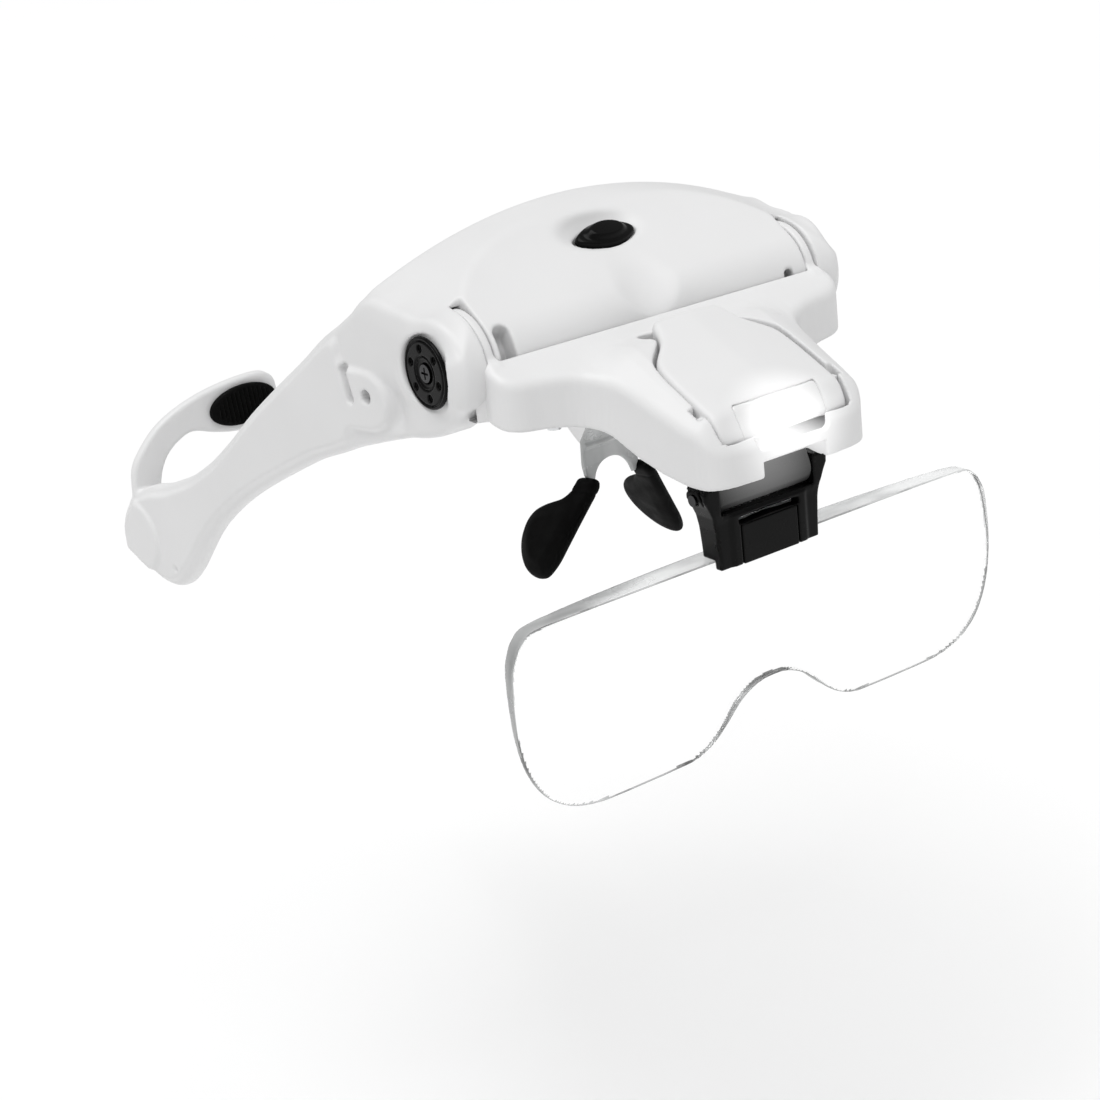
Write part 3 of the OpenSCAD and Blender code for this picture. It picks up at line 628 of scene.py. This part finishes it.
HOOD_HALF = [(55.0, -25), (56.4, -31), (56.9, -35), (55.6, -38.4), (52, -40.3), (46, -41.3), (38, -43.6),
             (34, -46.6), (31.4, -51), (30, -57), (28.8, -66), (27.6, -74), (25.6, -78.6),
             (21.5, -81.2), (14, -82.1), (5, -82.15)]
HOOD_PLAN = Outline(rounded(both_sides(HOOD_HALF), 3))
BAY_HALF = [(6, -38.2), (13.0, -38.2), (13.0, -45.4), (14.9, -48.6), (20.3, -53.6), (21.6, -59.6),
            (21.85, -70), (21.6, -77), (20.0, -80.1), (10, -80.2)]
BAY_PLAN = Outline(rounded(both_sides(BAY_HALF)), 0.3)
LAMP_HALF = [(3.0, -38.7), (6.6, -39.0), (9.4, -40.3), (11.2, -42.7), (12.2, -45.6), (14.2, -49.0),
             (19.6, -54.0), (20.9, -59.8), (21.15, -70), (20.9, -76.6), (19.2, -79.4), (10, -79.6)]
LAMP_PLAN = Outline(rounded(both_sides(LAMP_HALF)), 0.3)
# The hood's underside from the lip back to the crown, as depth and height.
UNDER = np.array([
    (-83, -30), (-77.8, -29.9), (-72.5, -29.1), (-65, -27.4), (-57.4, -24.8), (-52.7, -22.2),
    (-49.2, -19.6), (-46.3, -18), (-43.7, -17), (-41.8, -15.9), (-39.2, -14.6), (-37.1, -14),
    (-34.6, -13.3), (-31, -12.8), (-20, -12.6)])
# How high the top stands over its plane, against the distance from the middle.
CROWNED = np.array([
    (0, 5.6), (21, 5.2), (24, 4.3), (27, 2.9), (29, 1.9), (31.5, 0.9), (35, 0.1), (40, -0.1)])
BAY_FLOOR = -5.2
LIP_HALF = 11.6
UNDER_CLEAR_HALF = 10.4
SEAM_INSET, SEAM_HALF, SEAM_DEPTH = 2.2, 0.22, 0.7
SCREW_AT, SCREW_R = (41, -37.4), 2.2


def hood_plane(y, lift=0.0):
    """The height of the hood's sloping top, moved out square to itself by lift."""
    return (HOOD_TOP + lift) / math.cos(HOOD_SLOPE) + (y - HINGE_Y) * math.tan(HOOD_SLOPE)


def hood_lift(ax, y):
    """How far the top stands above its plane: a crowned middle that fades out towards the crown."""
    middle = np.interp(ax, *CROWNED.T)
    rise = ramp(y, -35, -50)
    fall = 1 - 0.84 * ramp(y, -75.5, -81.5)
    edge = -0.5 * ramp(ax, 38, 52) * ramp(y, -34, -41)
    return middle * rise * fall + edge


def hood(x, y, z):
    ax = np.abs(x)
    plan = HOOD_PLAN(x, y)
    r = np.hypot(y - HINGE_Y, z)
    top = (z - hood_plane(y)) * math.cos(HOOD_SLOPE) - hood_lift(ax, y)
    below = np.interp(y, *UNDER.T) - z
    d = smax(plan, top, 2.2)
    d = smax(d, below, 0.9)
    # Ear rings that carry the hood, flowing into its wings.
    aside = np.abs(ax - EAR_X) - EAR_HALF
    ring = smax(aside, r - BARREL_R, 0.8)
    reach = smax(smax(aside, z - hood_plane(y), 0.8), np.maximum(-12.8 - z, y - HINGE_Y), 0.5)
    reach = smax(reach, -34 - y, 1)
    # Room for the crown's round front and for the barrels.
    d = smax(d, -smax(r - (DRUM_R + 0.4), ax - 52.25, 0.2), 0.5)
    d = smin(d, smin(ring, reach, 0.8), 1.2)
    d = smax(d, -smax(smax(r - (BARREL_R + 0.35), 54.95 - ax, 0.2), y + 16, 0.2), 0.3)
    # The lamp's bay, with a nick for each of its pivot tabs.
    bay = smax(BAY_PLAN(x, y), hood_plane(y, BAY_FLOOR) - z, 0.8)
    nick = box(ax, y, z, (20.5, -74.7, -17), (23.6, -70.5, -4))
    d = smax(smax(d, -bay, 0.4), -nick, 0.25)
    # The lip is open in the middle, so that the light gets out.
    d = smax(d, -box(x, y, z, (-LIP_HALF, -90, -22.6), (LIP_HALF, -79, -4), 1.5), 0.5)
    # Clearance for the bracket under the middle of the front.
    d = smax(d, -box(x, y, z, (-UNDER_CLEAR_HALF, -90, -60), (UNDER_CLEAR_HALF, -74, -25.4)), 0.5)
    # Line round the underside cover and the heads of its screws.
    seam = smax(np.abs(plan + SEAM_INSET) - SEAM_HALF, -below - SEAM_DEPTH, 0.1)
    d = np.where(y < -36, smax(d, -seam, 0.15), d)
    screw = np.hypot(ax - SCREW_AT[0], y - SCREW_AT[1]) - SCREW_R
    return smax(d, -smax(screw, z + 14.2, 0.2), 0.3)


# The hood round the lamp carries a painted glow of the lamp's light.
field_piece("hood_moulding", hood, (-59, -84.5, -32), (59, -1, 17), 0.5, "hood", WHITE_GLOW_PAINTED,
            "white_plastic", ("hood_shell", "hood_cover", "hood_ear_left", "hood_ear_right"))


# ---- Lamp ----
WINDOW_HALF = 13.6
WINDOW_BACK, WINDOW_TOP = -72.6, -11.8
WINDOW_WALL = 1.5
NOSE_SLOPE, NOSE_AT = math.radians(62), (-75.4, -11.2)
HEEL_R = 9.1


def lamp_body(x, y, z):
    """The whole outside of the lamp, window included."""
    ax = np.abs(x)
    dome = 5.1 + 1.9 * (1 - np.minimum(ax / 21, 1) ** 2)
    dome = dome * (0.5 + 0.5 * ramp(y, -38.5, -44))
    top = (z - hood_plane(y)) * math.cos(HOOD_SLOPE) - dome
    # Flat facets run back from the window's sides.
    facet = 0.12 * (ax - 9.5) + (z - hood_plane(y, 6.5)) * 0.99
    top = smax(top, facet, 1.6)
    front = (z - NOSE_AT[1]) * math.cos(NOSE_SLOPE) - (y - NOSE_AT[0]) * math.sin(NOSE_SLOPE)
    d = smax(LAMP_PLAN(x, y), top, 2.0)
    d = smax(d, front, 1.2)
    d = smax(d, hood_plane(y, -3.6) - z, 0.8)
    # Below its pivots the nose is round about them, so that it clears the hood as it tips.
    heel = np.hypot(y - PIVOT_Y, z - PIVOT_Z) - HEEL_R
    return smax(d, np.where((y < PIVOT_Y) & (z < PIVOT_Z), heel, -5.0), 0.6)


def window_zone(x, y, z, grow):
    """The part of the lamp's nose that the clear window fills."""
    nose = smax(y - WINDOW_BACK - grow, z - WINDOW_TOP - grow, 0.6)
    return smax(nose, np.abs(x) - WINDOW_HALF - grow, 1.0)


def lamp_case(x, y, z):
    """The white housing, hollow over the LEDs, with its two pivot tabs."""
    d = lamp_body(x, y, z)
    d = smax(d, -box(x, y, z, (-18.5, -75.5, -19), (18.5, -60, -13.5), 1), 0.5)
    d = smax(d, -window_zone(x, y, z, 0.12), 0.35)
    tab = box(np.abs(x), y, z, (19.5, -73.5, -15.5), (23.0, -71.7, -13.2), 0.3)
    return smin(d, tab, 0.4)


def lamp_glass(x, y, z):
    """The window, an even wall that sits just inside the housing's shape."""
    d = lamp_body(x, y, z) + 0.15
    d = smax(d, window_zone(x, y, z, 0), 0.4)
    return smax(d, -smax(lamp_body(x, y, z) + WINDOW_WALL, window_zone(x, y, z, 6), 0.2), 0.4)


# The housing carries a painted glow of the lamp's light, and the window a painted glow of its own.
field_piece("lamp_case", lamp_case, (-23.5, -81.5, -25), (23.5, -38, 8), 0.4, "lamp", WHITE_GLOW_PAINTED,
            "white_plastic", ("lamp_housing", "lamp_tray"))
field_piece("lamp_glass", lamp_glass, (-15, -81.5, -25), (15, -66, -8), 0.4, "lamp", GLOW,
            "clear_acrylic", ("lamp_window",))


# ---- Light button ----
def button(x, y, z):
    """An almond-shaped cap with a low hump in its middle."""
    u, v, w = face_local(x, y, z)
    edge = almond(u, v, BUTTON_W, BUTTON_D)
    crown = 0.75 - 0.9 * (2 * u / BUTTON_W) ** 2 - 0.35 * (2 * v / BUTTON_D) ** 2
    hump = 1.3 * ramp(np.hypot(u / 6.6, (v - 0.3) / 3.4), 1.1, 0.7)
    d = smax(edge, (w - crown - hump) * 0.8, 0.9)
    return smax(d, -2 - w, 0.5)


field_piece("light_button_cap", button, (-12, -18, 14), (12, -3, 30), 0.3, "button", BLACK,
            "black_plastic", ("light_button",))


# ---- Pivot caps and hook pads ----
CAP_R, CAP_BACK, CAP_FACE, CAP_HUB_R = 9.6, 64.0, 65.1, 2.75
CAP_LINES = ((8.5, 0.25), (4.5, 0.2))
CAP_HOLES, CAP_HOLE_RING, CAP_HOLE_R = 6, 6.5, 1.05


def pivot_cap(x, y, z):
    """A round cap with two turned lines, a ring of dimples and a hub for the screw."""
    ax = np.abs(x)
    dy, r = y - HINGE_Y, np.hypot(y - HINGE_Y, z)
    face = CAP_FACE - 0.4 * ramp(r, 4.1, 3.7)
    d = smax(r - CAP_R, ax - face, 0.7)
    d = smax(d, CAP_BACK - ax, 0.3)
    for line_r, half in CAP_LINES:
        d = smax(d, -smax(np.abs(r - line_r) - half, CAP_FACE - 0.4 - ax, 0.1), 0.25)
    for k in range(CAP_HOLES):
        a = math.radians(360 / CAP_HOLES * k + 20)
        hole = np.hypot(dy - CAP_HOLE_RING * math.cos(a), z - CAP_HOLE_RING * math.sin(a)) - CAP_HOLE_R
        d = smax(d, -smax(hole, CAP_FACE - 0.8 - ax, 0.2), 0.3)
    return smax(d, CAP_HUB_R - r, 0.3)


for s, side_name in SIDES:
    lo_x, hi_x = sorted((s * 63.2, s * 66.2))
    field_piece(f"pivot_cap_{side_name}", pivot_cap, (lo_x, -28, -10.5), (hi_x, -7, 10.5), 0.3,
                "headset", BLACK, "black_plastic", ("pivot_caps",) if s > 0 else ())

PAD_C, PAD_LEAN = (44.3, -40.7), math.radians(-4)
PAD_HALF, PAD_OUT, RIB_PITCH, RIB_HEIGHT = (11.8, 6.25), 3.7, 1.55, 0.35


def hook_pad(x, y, z):
    """A ribbed oval pad on the front of a hook."""
    dx, dz = np.abs(x) - PAD_C[0], z - PAD_C[1]
    c, s = math.cos(PAD_LEAN), math.sin(PAD_LEAN)
    u, v = dx * c + dz * s, -dx * s + dz * c
    oval = (np.hypot(u / PAD_HALF[0], v / PAD_HALF[1]) - 1) * PAD_HALF[1]
    ribs = RIB_HEIGHT * np.cos(u * 2 * math.pi / RIB_PITCH) * ramp(oval, -0.6, -1.4)
    d = smax(oval, HOOK_Y - PAD_OUT - y - ribs, 0.9)
    return smax(d, y - HOOK_Y + HOOK_HALF + 0.02, 0.3)


for s, side_name in SIDES:
    lo_x, hi_x = sorted((s * 30.5, s * 56.8))
    field_piece(f"hook_pad_cap_{side_name}", hook_pad, (lo_x, 130.4, -48.5), (hi_x, 134.2, -33), 0.32,
                "headset", RUBBER, "soft_rubber", (f"hook_pad_{side_name}",))


# ---- Nose rest ----
SADDLE_SIDE = Outline(rounded([
    (-14.0, -10.2), (-14.2, -19.6), (-1.7, -36.4), (-1.9, -48.5), (-3.5, -48.5), (-3.6, -37.0),
    (-16, -20.5), (-16, -13.2), (-21.5, -13.4), (-21.5, -11.2)], 2), 0.25)
FOLD_Y, FOLD_Z, FOLD_R = -3.7, -37.6, 0.75
NOSE_ARCH_Z, NOSE_ARCH_R = -49.6, 6.5
PADDLE_AT, PADDLE_OUT, PADDLE_TIP = (8.8, -3.4, -46.6), math.radians(31), math.radians(8)


def nose_saddle(x, y, z):
    """A bent strip with a raised fold, arched below for the nose."""
    half = np.interp(z, [-48.6, -46.5, -44, -36, -12], [8.2, 9.2, 9.3, 9.5, 9.8])
    fold = capsule(x, y, z, (-9, FOLD_Y, FOLD_Z), (9, FOLD_Y, FOLD_Z), FOLD_R)
    strip = smax(SADDLE_SIDE(y, z), np.abs(x) - half, 0.7)
    d = smin(strip, smax(fold, np.abs(x) - half + 0.3, 0.3), 0.8)
    return smax(d, NOSE_ARCH_R - np.hypot(x, z - NOSE_ARCH_Z), 0.6)


PADDLE = Outline(rounded([
    (-4.6, -1.6), (-3.4, -0.4), (2.7, -0.4), (4.4, -2.6), (5.7, -4.9), (8.4, -6.8), (12, -8), (15.5, -9.2),
    (19, -11.2), (21.3, -14.4), (22, -18.5), (21.4, -22), (19.6, -25.4), (16.8, -28.2), (13.2, -29.9),
    (9.5, -30.3), (6.8, -29.3), (4, -25.4), (2, -20.4), (-0.3, -14.4), (-2.9, -7.9), (-4.7, -3.4)]), 0.3)


def nose_pad(x, y, z):
    """A soft paddle on the saddle's foot, straight in front and full behind."""
    px, py, pz = np.abs(x) - PADDLE_AT[0], y - PADDLE_AT[1], z - PADDLE_AT[2]
    c, s = math.cos(PADDLE_OUT), math.sin(PADDLE_OUT)
    u, w = px * c + pz * s, -px * s + pz * c
    c, s = math.cos(PADDLE_TIP), math.sin(PADDLE_TIP)
    v, w = py * c - w * s, py * s + w * c
    edge = PADDLE(v, w)
    belly = 1.7 + 0.9 * ramp(-edge, 0.5, 5) * ramp(w, -7, -14)
    grip = 0.22 * np.exp(-((w + 4.6) / 0.35) ** 2)
    return smax(edge, np.abs(u + 0.2) - belly + grip, 2.2)


field_piece("nose_saddle", nose_saddle, (-10.5, -22.5, -49.5), (10.5, 0, -9.8), 0.35, "headset",
            SADDLE, "nose_saddle", ("nose_bridge",))
for s, side_name in SIDES:
    lo_x, hi_x = sorted((s * 3.0, s * 31.0))
    field_piece(f"nose_paddle_{side_name}", nose_pad, (lo_x, -14, -77), (hi_x, 22, -42), 0.42,
                "headset", RUBBER, "soft_rubber", (f"nose_pad_{side_name}",))


# ---- Forehead pad ----
REST_FRONT, REST_BACK, REST_Z, REST_HALF = 10.6, 12.9, 6.8, (47.6, 8.4)
CHANNEL_PITCH, CHANNEL_DEPTH = 16, 0.55


def forehead(x, y, z):
    """A flat pad, softer at its ends, with pressed channels across it."""
    ax = np.abs(x)
    channel = CHANNEL_DEPTH * np.exp(-((ax % CHANNEL_PITCH - CHANNEL_PITCH / 2) / 0.9) ** 2)
    back = REST_BACK - channel - 0.9 * ramp(ax, 38, 48)
    d = smax(y - back, REST_FRONT - y, 0.6)
    return smax(smax(d, np.abs(z - REST_Z) - REST_HALF[1], 2.0), ax - REST_HALF[0], 2.6)


pad = field_piece("forehead_pad_foam", forehead, (-48.5, 9.5, -3), (48.5, 14, 17), 0.45, "headset", FOAM,
                  "foam", ("forehead_pad",))


# ---- Bracket ----
BRACKET_HALF = [(16.5, -56), (16.8, -50), (17.2, -45), (17.9, -41.6), (19.2, -38.6), (20.4, -36.4),
                (20.5, -34.6), (19.6, -33.3), (10, -33.2)]
BRACKET = Outline(both_sides(BRACKET_HALF), 0.3)
BRACKET_FRONT, BRACKET_BACK = -70.15, -62.1
FRONT_WALL_BACK = -66.9
KNUCKLE_R, KNUCKLE_HALF, KNUCKLE_GAP = 4.75, 15.2, 0.4


def bracket_case(x, y, z):
    """The flip-up case: front and back walls, slits round the tongue, and bosses round the pins."""
    ax = np.abs(x)
    r = np.hypot(y - FLIP_Y, z - FLIP_Z)
    face = BRACKET_FRONT + 0.5 * ramp(ax, 11.6, 13.4) * ramp(z, -40, -44)
    d = smax(BRACKET(x, z), smax(face - y, y - BRACKET_BACK, 0.3), 0.8)
    # Slits round the tongue: a wide one over it and a narrow one on each side.
    hole = smax(ax - 9.75, smax(-57 - z, z + 45.2, 0.2), 0.2)
    over = smax(np.abs(z + 44.1 - 0.05 * (10 - ax)) - 1.0, ax - 10.2, 0.8)
    d = smax(d, -smax(np.minimum(hole, over), y - FRONT_WALL_BACK, 0.2), 0.3)
    # The socket for the lens's tab, and the open bottom behind the front wall.
    d = smax(d, -box(x, y, z, (-14.9, FRONT_WALL_BACK, -58), (14.9, -63.7, -44.5), 0.2), 0.3)
    d = smax(d, -smax(z + 53.6, -y - 67, 0.2), 0.4)
    # Room for the hood's knuckle, whose web passes the front wall as the case flips.
    inner = ax - KNUCKLE_HALF - KNUCKLE_GAP
    cut = smax(inner, np.minimum(r - 5.1, smax(-41.2 - z, y - FRONT_WALL_BACK, 0.2)), 0.2)
    cut = np.minimum(cut, smax(inner, FLIP_Z - z, 0.2))
    d = smax(d, -cut, 0.4)
    # Bosses and holes round the pins.
    ring = smax(np.abs(r - 3.3) - 0.3, 19.6 - ax, 0.1)
    d = smax(d, -ring, 0.25)
    d = smax(d, -smax(r - 1.52, 15 - ax, 0.1), 0.25)
    step = smax(np.abs(z + 41.6) - 0.35, smax(ax - 15, np.abs(y - BRACKET_FRONT) - 0.3, 0.2), 0.3)
    return smax(d, -step, 0.4)


def tongue(x, y, z):
    """The release tongue, flush with the case's front."""
    return box(x, y, z, (-9.3, BRACKET_FRONT, -55.95), (9.3, -67.45, -45.3), 0.35)


def knuckle(x, y, z):
    """The hood's hinge knuckle with the web that carries it."""
    r = np.hypot(y - FLIP_Y, z - FLIP_Z)
    web = smax(smax(-68.5 - y, y + 62.3, 0.3), FLIP_Z - z, 0.3)
    d = smin(r - KNUCKLE_R, smax(web, z + 24.6 - (y + 60) * 0.34, 0.3), 1.6)
    return smax(d, np.abs(x) - KNUCKLE_HALF, 0.5)


field_piece("bracket_case", bracket_case, (-22, -71.2, -57), (22, -60.5, -31), 0.33, "lens_bracket",
            BLACK, "black_plastic", ("bracket_front", "bracket_back"))
field_piece("tongue_cap", tongue, (-10.2, -71, -57), (10.2, -66.5, -44), 0.3, "tongue", BLACK,
            "black_plastic", ("release_tongue",))
# The knuckle under the lamp carries a painted glow of the lamp's light.
field_piece("hood_knuckle", knuckle, (-16.5, -71, -42.5), (16.5, -59.5, -22), 0.4, "hood", BLACK_GLOW_PAINTED,
            "black_plastic", ("bracket_mount",))


# ---- Lens ----
LENS_FRONT, LENS_R, LENS_BLANK, LENS_CENTRE_Z = -66.7, 851.0, 11.95, 22.6
LENS_RIM, LENS_BEVEL = 2.0, 0.5
LENS_HALF = [
    (0, -91.2), (5.8, -92), (11.3, -94.8), (16.6, -99.6), (21.8, -103.6), (27.8, -105.9), (35, -106.35),
    (44.6, -106.45), (54, -106.4), (60.5, -105.9), (66, -104.6), (70.6, -102.4), (74.8, -98.9), (78, -94),
    (80.2, -88), (81.4, -81), (81.6, -73.5), (80.8, -64), (79.3, -59.6), (77, -56.5), (72.9, -54.5),
    (60, -54), (40, -53.9), (20, -53.9), (0, -53.9)]
LENS_MIRROR = [(-x, z) for x, z in LENS_HALF[-2:0:-1]]
LENS_PLAN = Outline(rounded(LENS_HALF + LENS_MIRROR, 8), 0.25, 6)
RIM_DEPTH, SHADE_LINE_DEPTH = 0.35, 0.8
SHADE_LINE_BELOW = -86


def lens_back(x, z):
    """The back of the lens: a shallow dome that never gets thinner than its rim."""
    dome = LENS_FRONT + LENS_BLANK - LENS_R + np.sqrt(LENS_R ** 2 - x * x - (z - LENS_CENTRE_Z) ** 2)
    return smax(dome, LENS_FRONT + LENS_RIM, 0.8)


def lens_field(x, y, z):
    """The lens with the tab that goes into the bracket."""
    d = smax(LENS_PLAN(x, z), LENS_FRONT - y, LENS_BEVEL)
    d = smax(d, y - lens_back(x, z), LENS_BEVEL)
    tab = box(x, y, z, (-14.5, LENS_FRONT + 0.02, -56), (14.5, LENS_FRONT + 2.6, -44.95), 0.3)
    return smin(d, tab, 0.5)


def lens_looks(verts, faces):
    """Which look each face has: 0 clear, 1 the satin rim with grey streaks of painted reflection, 2 a painted dark
    line of shade along the bevel and lower edge.
    """
    middle = verts[faces].mean(1)
    depth = LENS_PLAN(middle[:, 0], middle[:, 2])
    a, b, c = (verts[faces[:, i]] for i in range(3))
    facing = np.cross(b - a, c - a)
    facing /= np.maximum(np.linalg.norm(facing, axis=1, keepdims=True), 1e-12)
    bevel = (middle[:, 1] < LENS_FRONT + LENS_BEVEL) & (np.abs(facing[:, 1]) < 0.94)
    looks = np.where(depth > -RIM_DEPTH, 1, 0)
    # Painted shade on the bevel, and along the rim's lower edge.
    looks[(depth > -SHADE_LINE_DEPTH) & bevel] = 2
    looks[(depth > -RIM_DEPTH) & (middle[:, 2] < SHADE_LINE_BELOW)] = 2
    return looks.astype(np.int32)


lens_net = net(lens_field, (-82.2, -68, -107.5), (82.2, -53, -44), 0.5)
lens = mesh_piece("lens_body", *lens_net, "lens", CLEAR, "clear_acrylic", ("lens",))
lens.data.materials.append(RIM)
lens.data.materials.append(EDGE_SHADE)
lens.data.polygons.foreach_set("material_index", lens_looks(*lens_net))
# Clear acrylic throws almost no shadow.
lens.visible_shadow = False


# ---- Stage ----
FLOOR_DROP, FLOOR_HALF = 0.16, 40
WORLD_STRENGTH = 0.43
SUN_ENERGY, SUN_ANGLE, SUN_TRAVEL = 2.2, math.radians(50), Vector((0.12, 0.09, -0.5))


def floor_piece():
    """A pale floor, far enough below that no dark shadow shows through the lens."""
    bm = bmesh.new()
    bmesh.ops.create_grid(bm, x_segments=8, y_segments=8, size=FLOOR_HALF)
    mesh = bpy.data.meshes.new("floor")
    bm.to_mesh(mesh)
    bm.free()
    o = bpy.data.objects.new("floor", mesh)
    o.location = (0, 0, cad_box[0].z - FLOOR_DROP)
    k = Look("pale_floor", (0.93, 0.93, 0.93), 0.9, Specular_IOR_Level=0.1)
    k.tint(k.noise(3, 2), (0.925, 0.925, 0.925), (0.935, 0.935, 0.935))
    mesh.materials.append(k.m)
    bpy.context.scene.collection.objects.link(o)


def studio_light():
    """An even white sky and one very soft key light from above."""
    world = bpy.data.worlds.new("soft_studio")
    world.use_nodes = True
    sky = world.node_tree.nodes["Background"]
    sky.inputs["Color"].default_value = (1, 1, 1, 1)
    sky.inputs["Strength"].default_value = WORLD_STRENGTH
    bpy.context.scene.world = world
    sun = bpy.data.lights.new("key", "SUN")
    sun.energy, sun.angle = SUN_ENERGY, SUN_ANGLE
    key = bpy.data.objects.new("key", sun)
    key.rotation_euler = SUN_TRAVEL.to_track_quat("-Z", "Y").to_euler()
    bpy.context.scene.collection.objects.link(key)


floor_piece()
studio_light()


# ---- Camera ----
AZIMUTH, ELEVATION, ROLL = (math.radians(a) for a in (-33.322, 20.394, 6.594))
CAMERA_AT = Vector((-0.33484, -0.48881, 0.14650))
LENS_LENGTH, SENSOR = 71.237, 36
NEAREST = 0.01


def place_camera():
    """Looks at the visor's front from its right, a little above, with a slight roll."""
    back = Vector((math.sin(AZIMUTH) * math.cos(ELEVATION), -math.cos(AZIMUTH) * math.cos(ELEVATION),
                   math.sin(ELEVATION)))
    right = (-back).cross(Vector((0, 0, 1))).normalized()
    down = (-back).cross(right)
    across = right * math.cos(ROLL) + down * math.sin(ROLL)
    below = -right * math.sin(ROLL) + down * math.cos(ROLL)
    data = bpy.data.cameras.new("camera")
    data.sensor_width, data.lens, data.clip_start = SENSOR, LENS_LENGTH, NEAREST
    camera = bpy.data.objects.new("camera", data)
    turn = Matrix((across, -below, back)).transposed()
    camera.matrix_world = Matrix.Translation(CAMERA_AT) @ turn.to_4x4()
    bpy.context.scene.collection.objects.link(camera)
    bpy.context.scene.camera = camera


place_camera()
bpy.context.scene.view_settings.view_transform = "Standard"
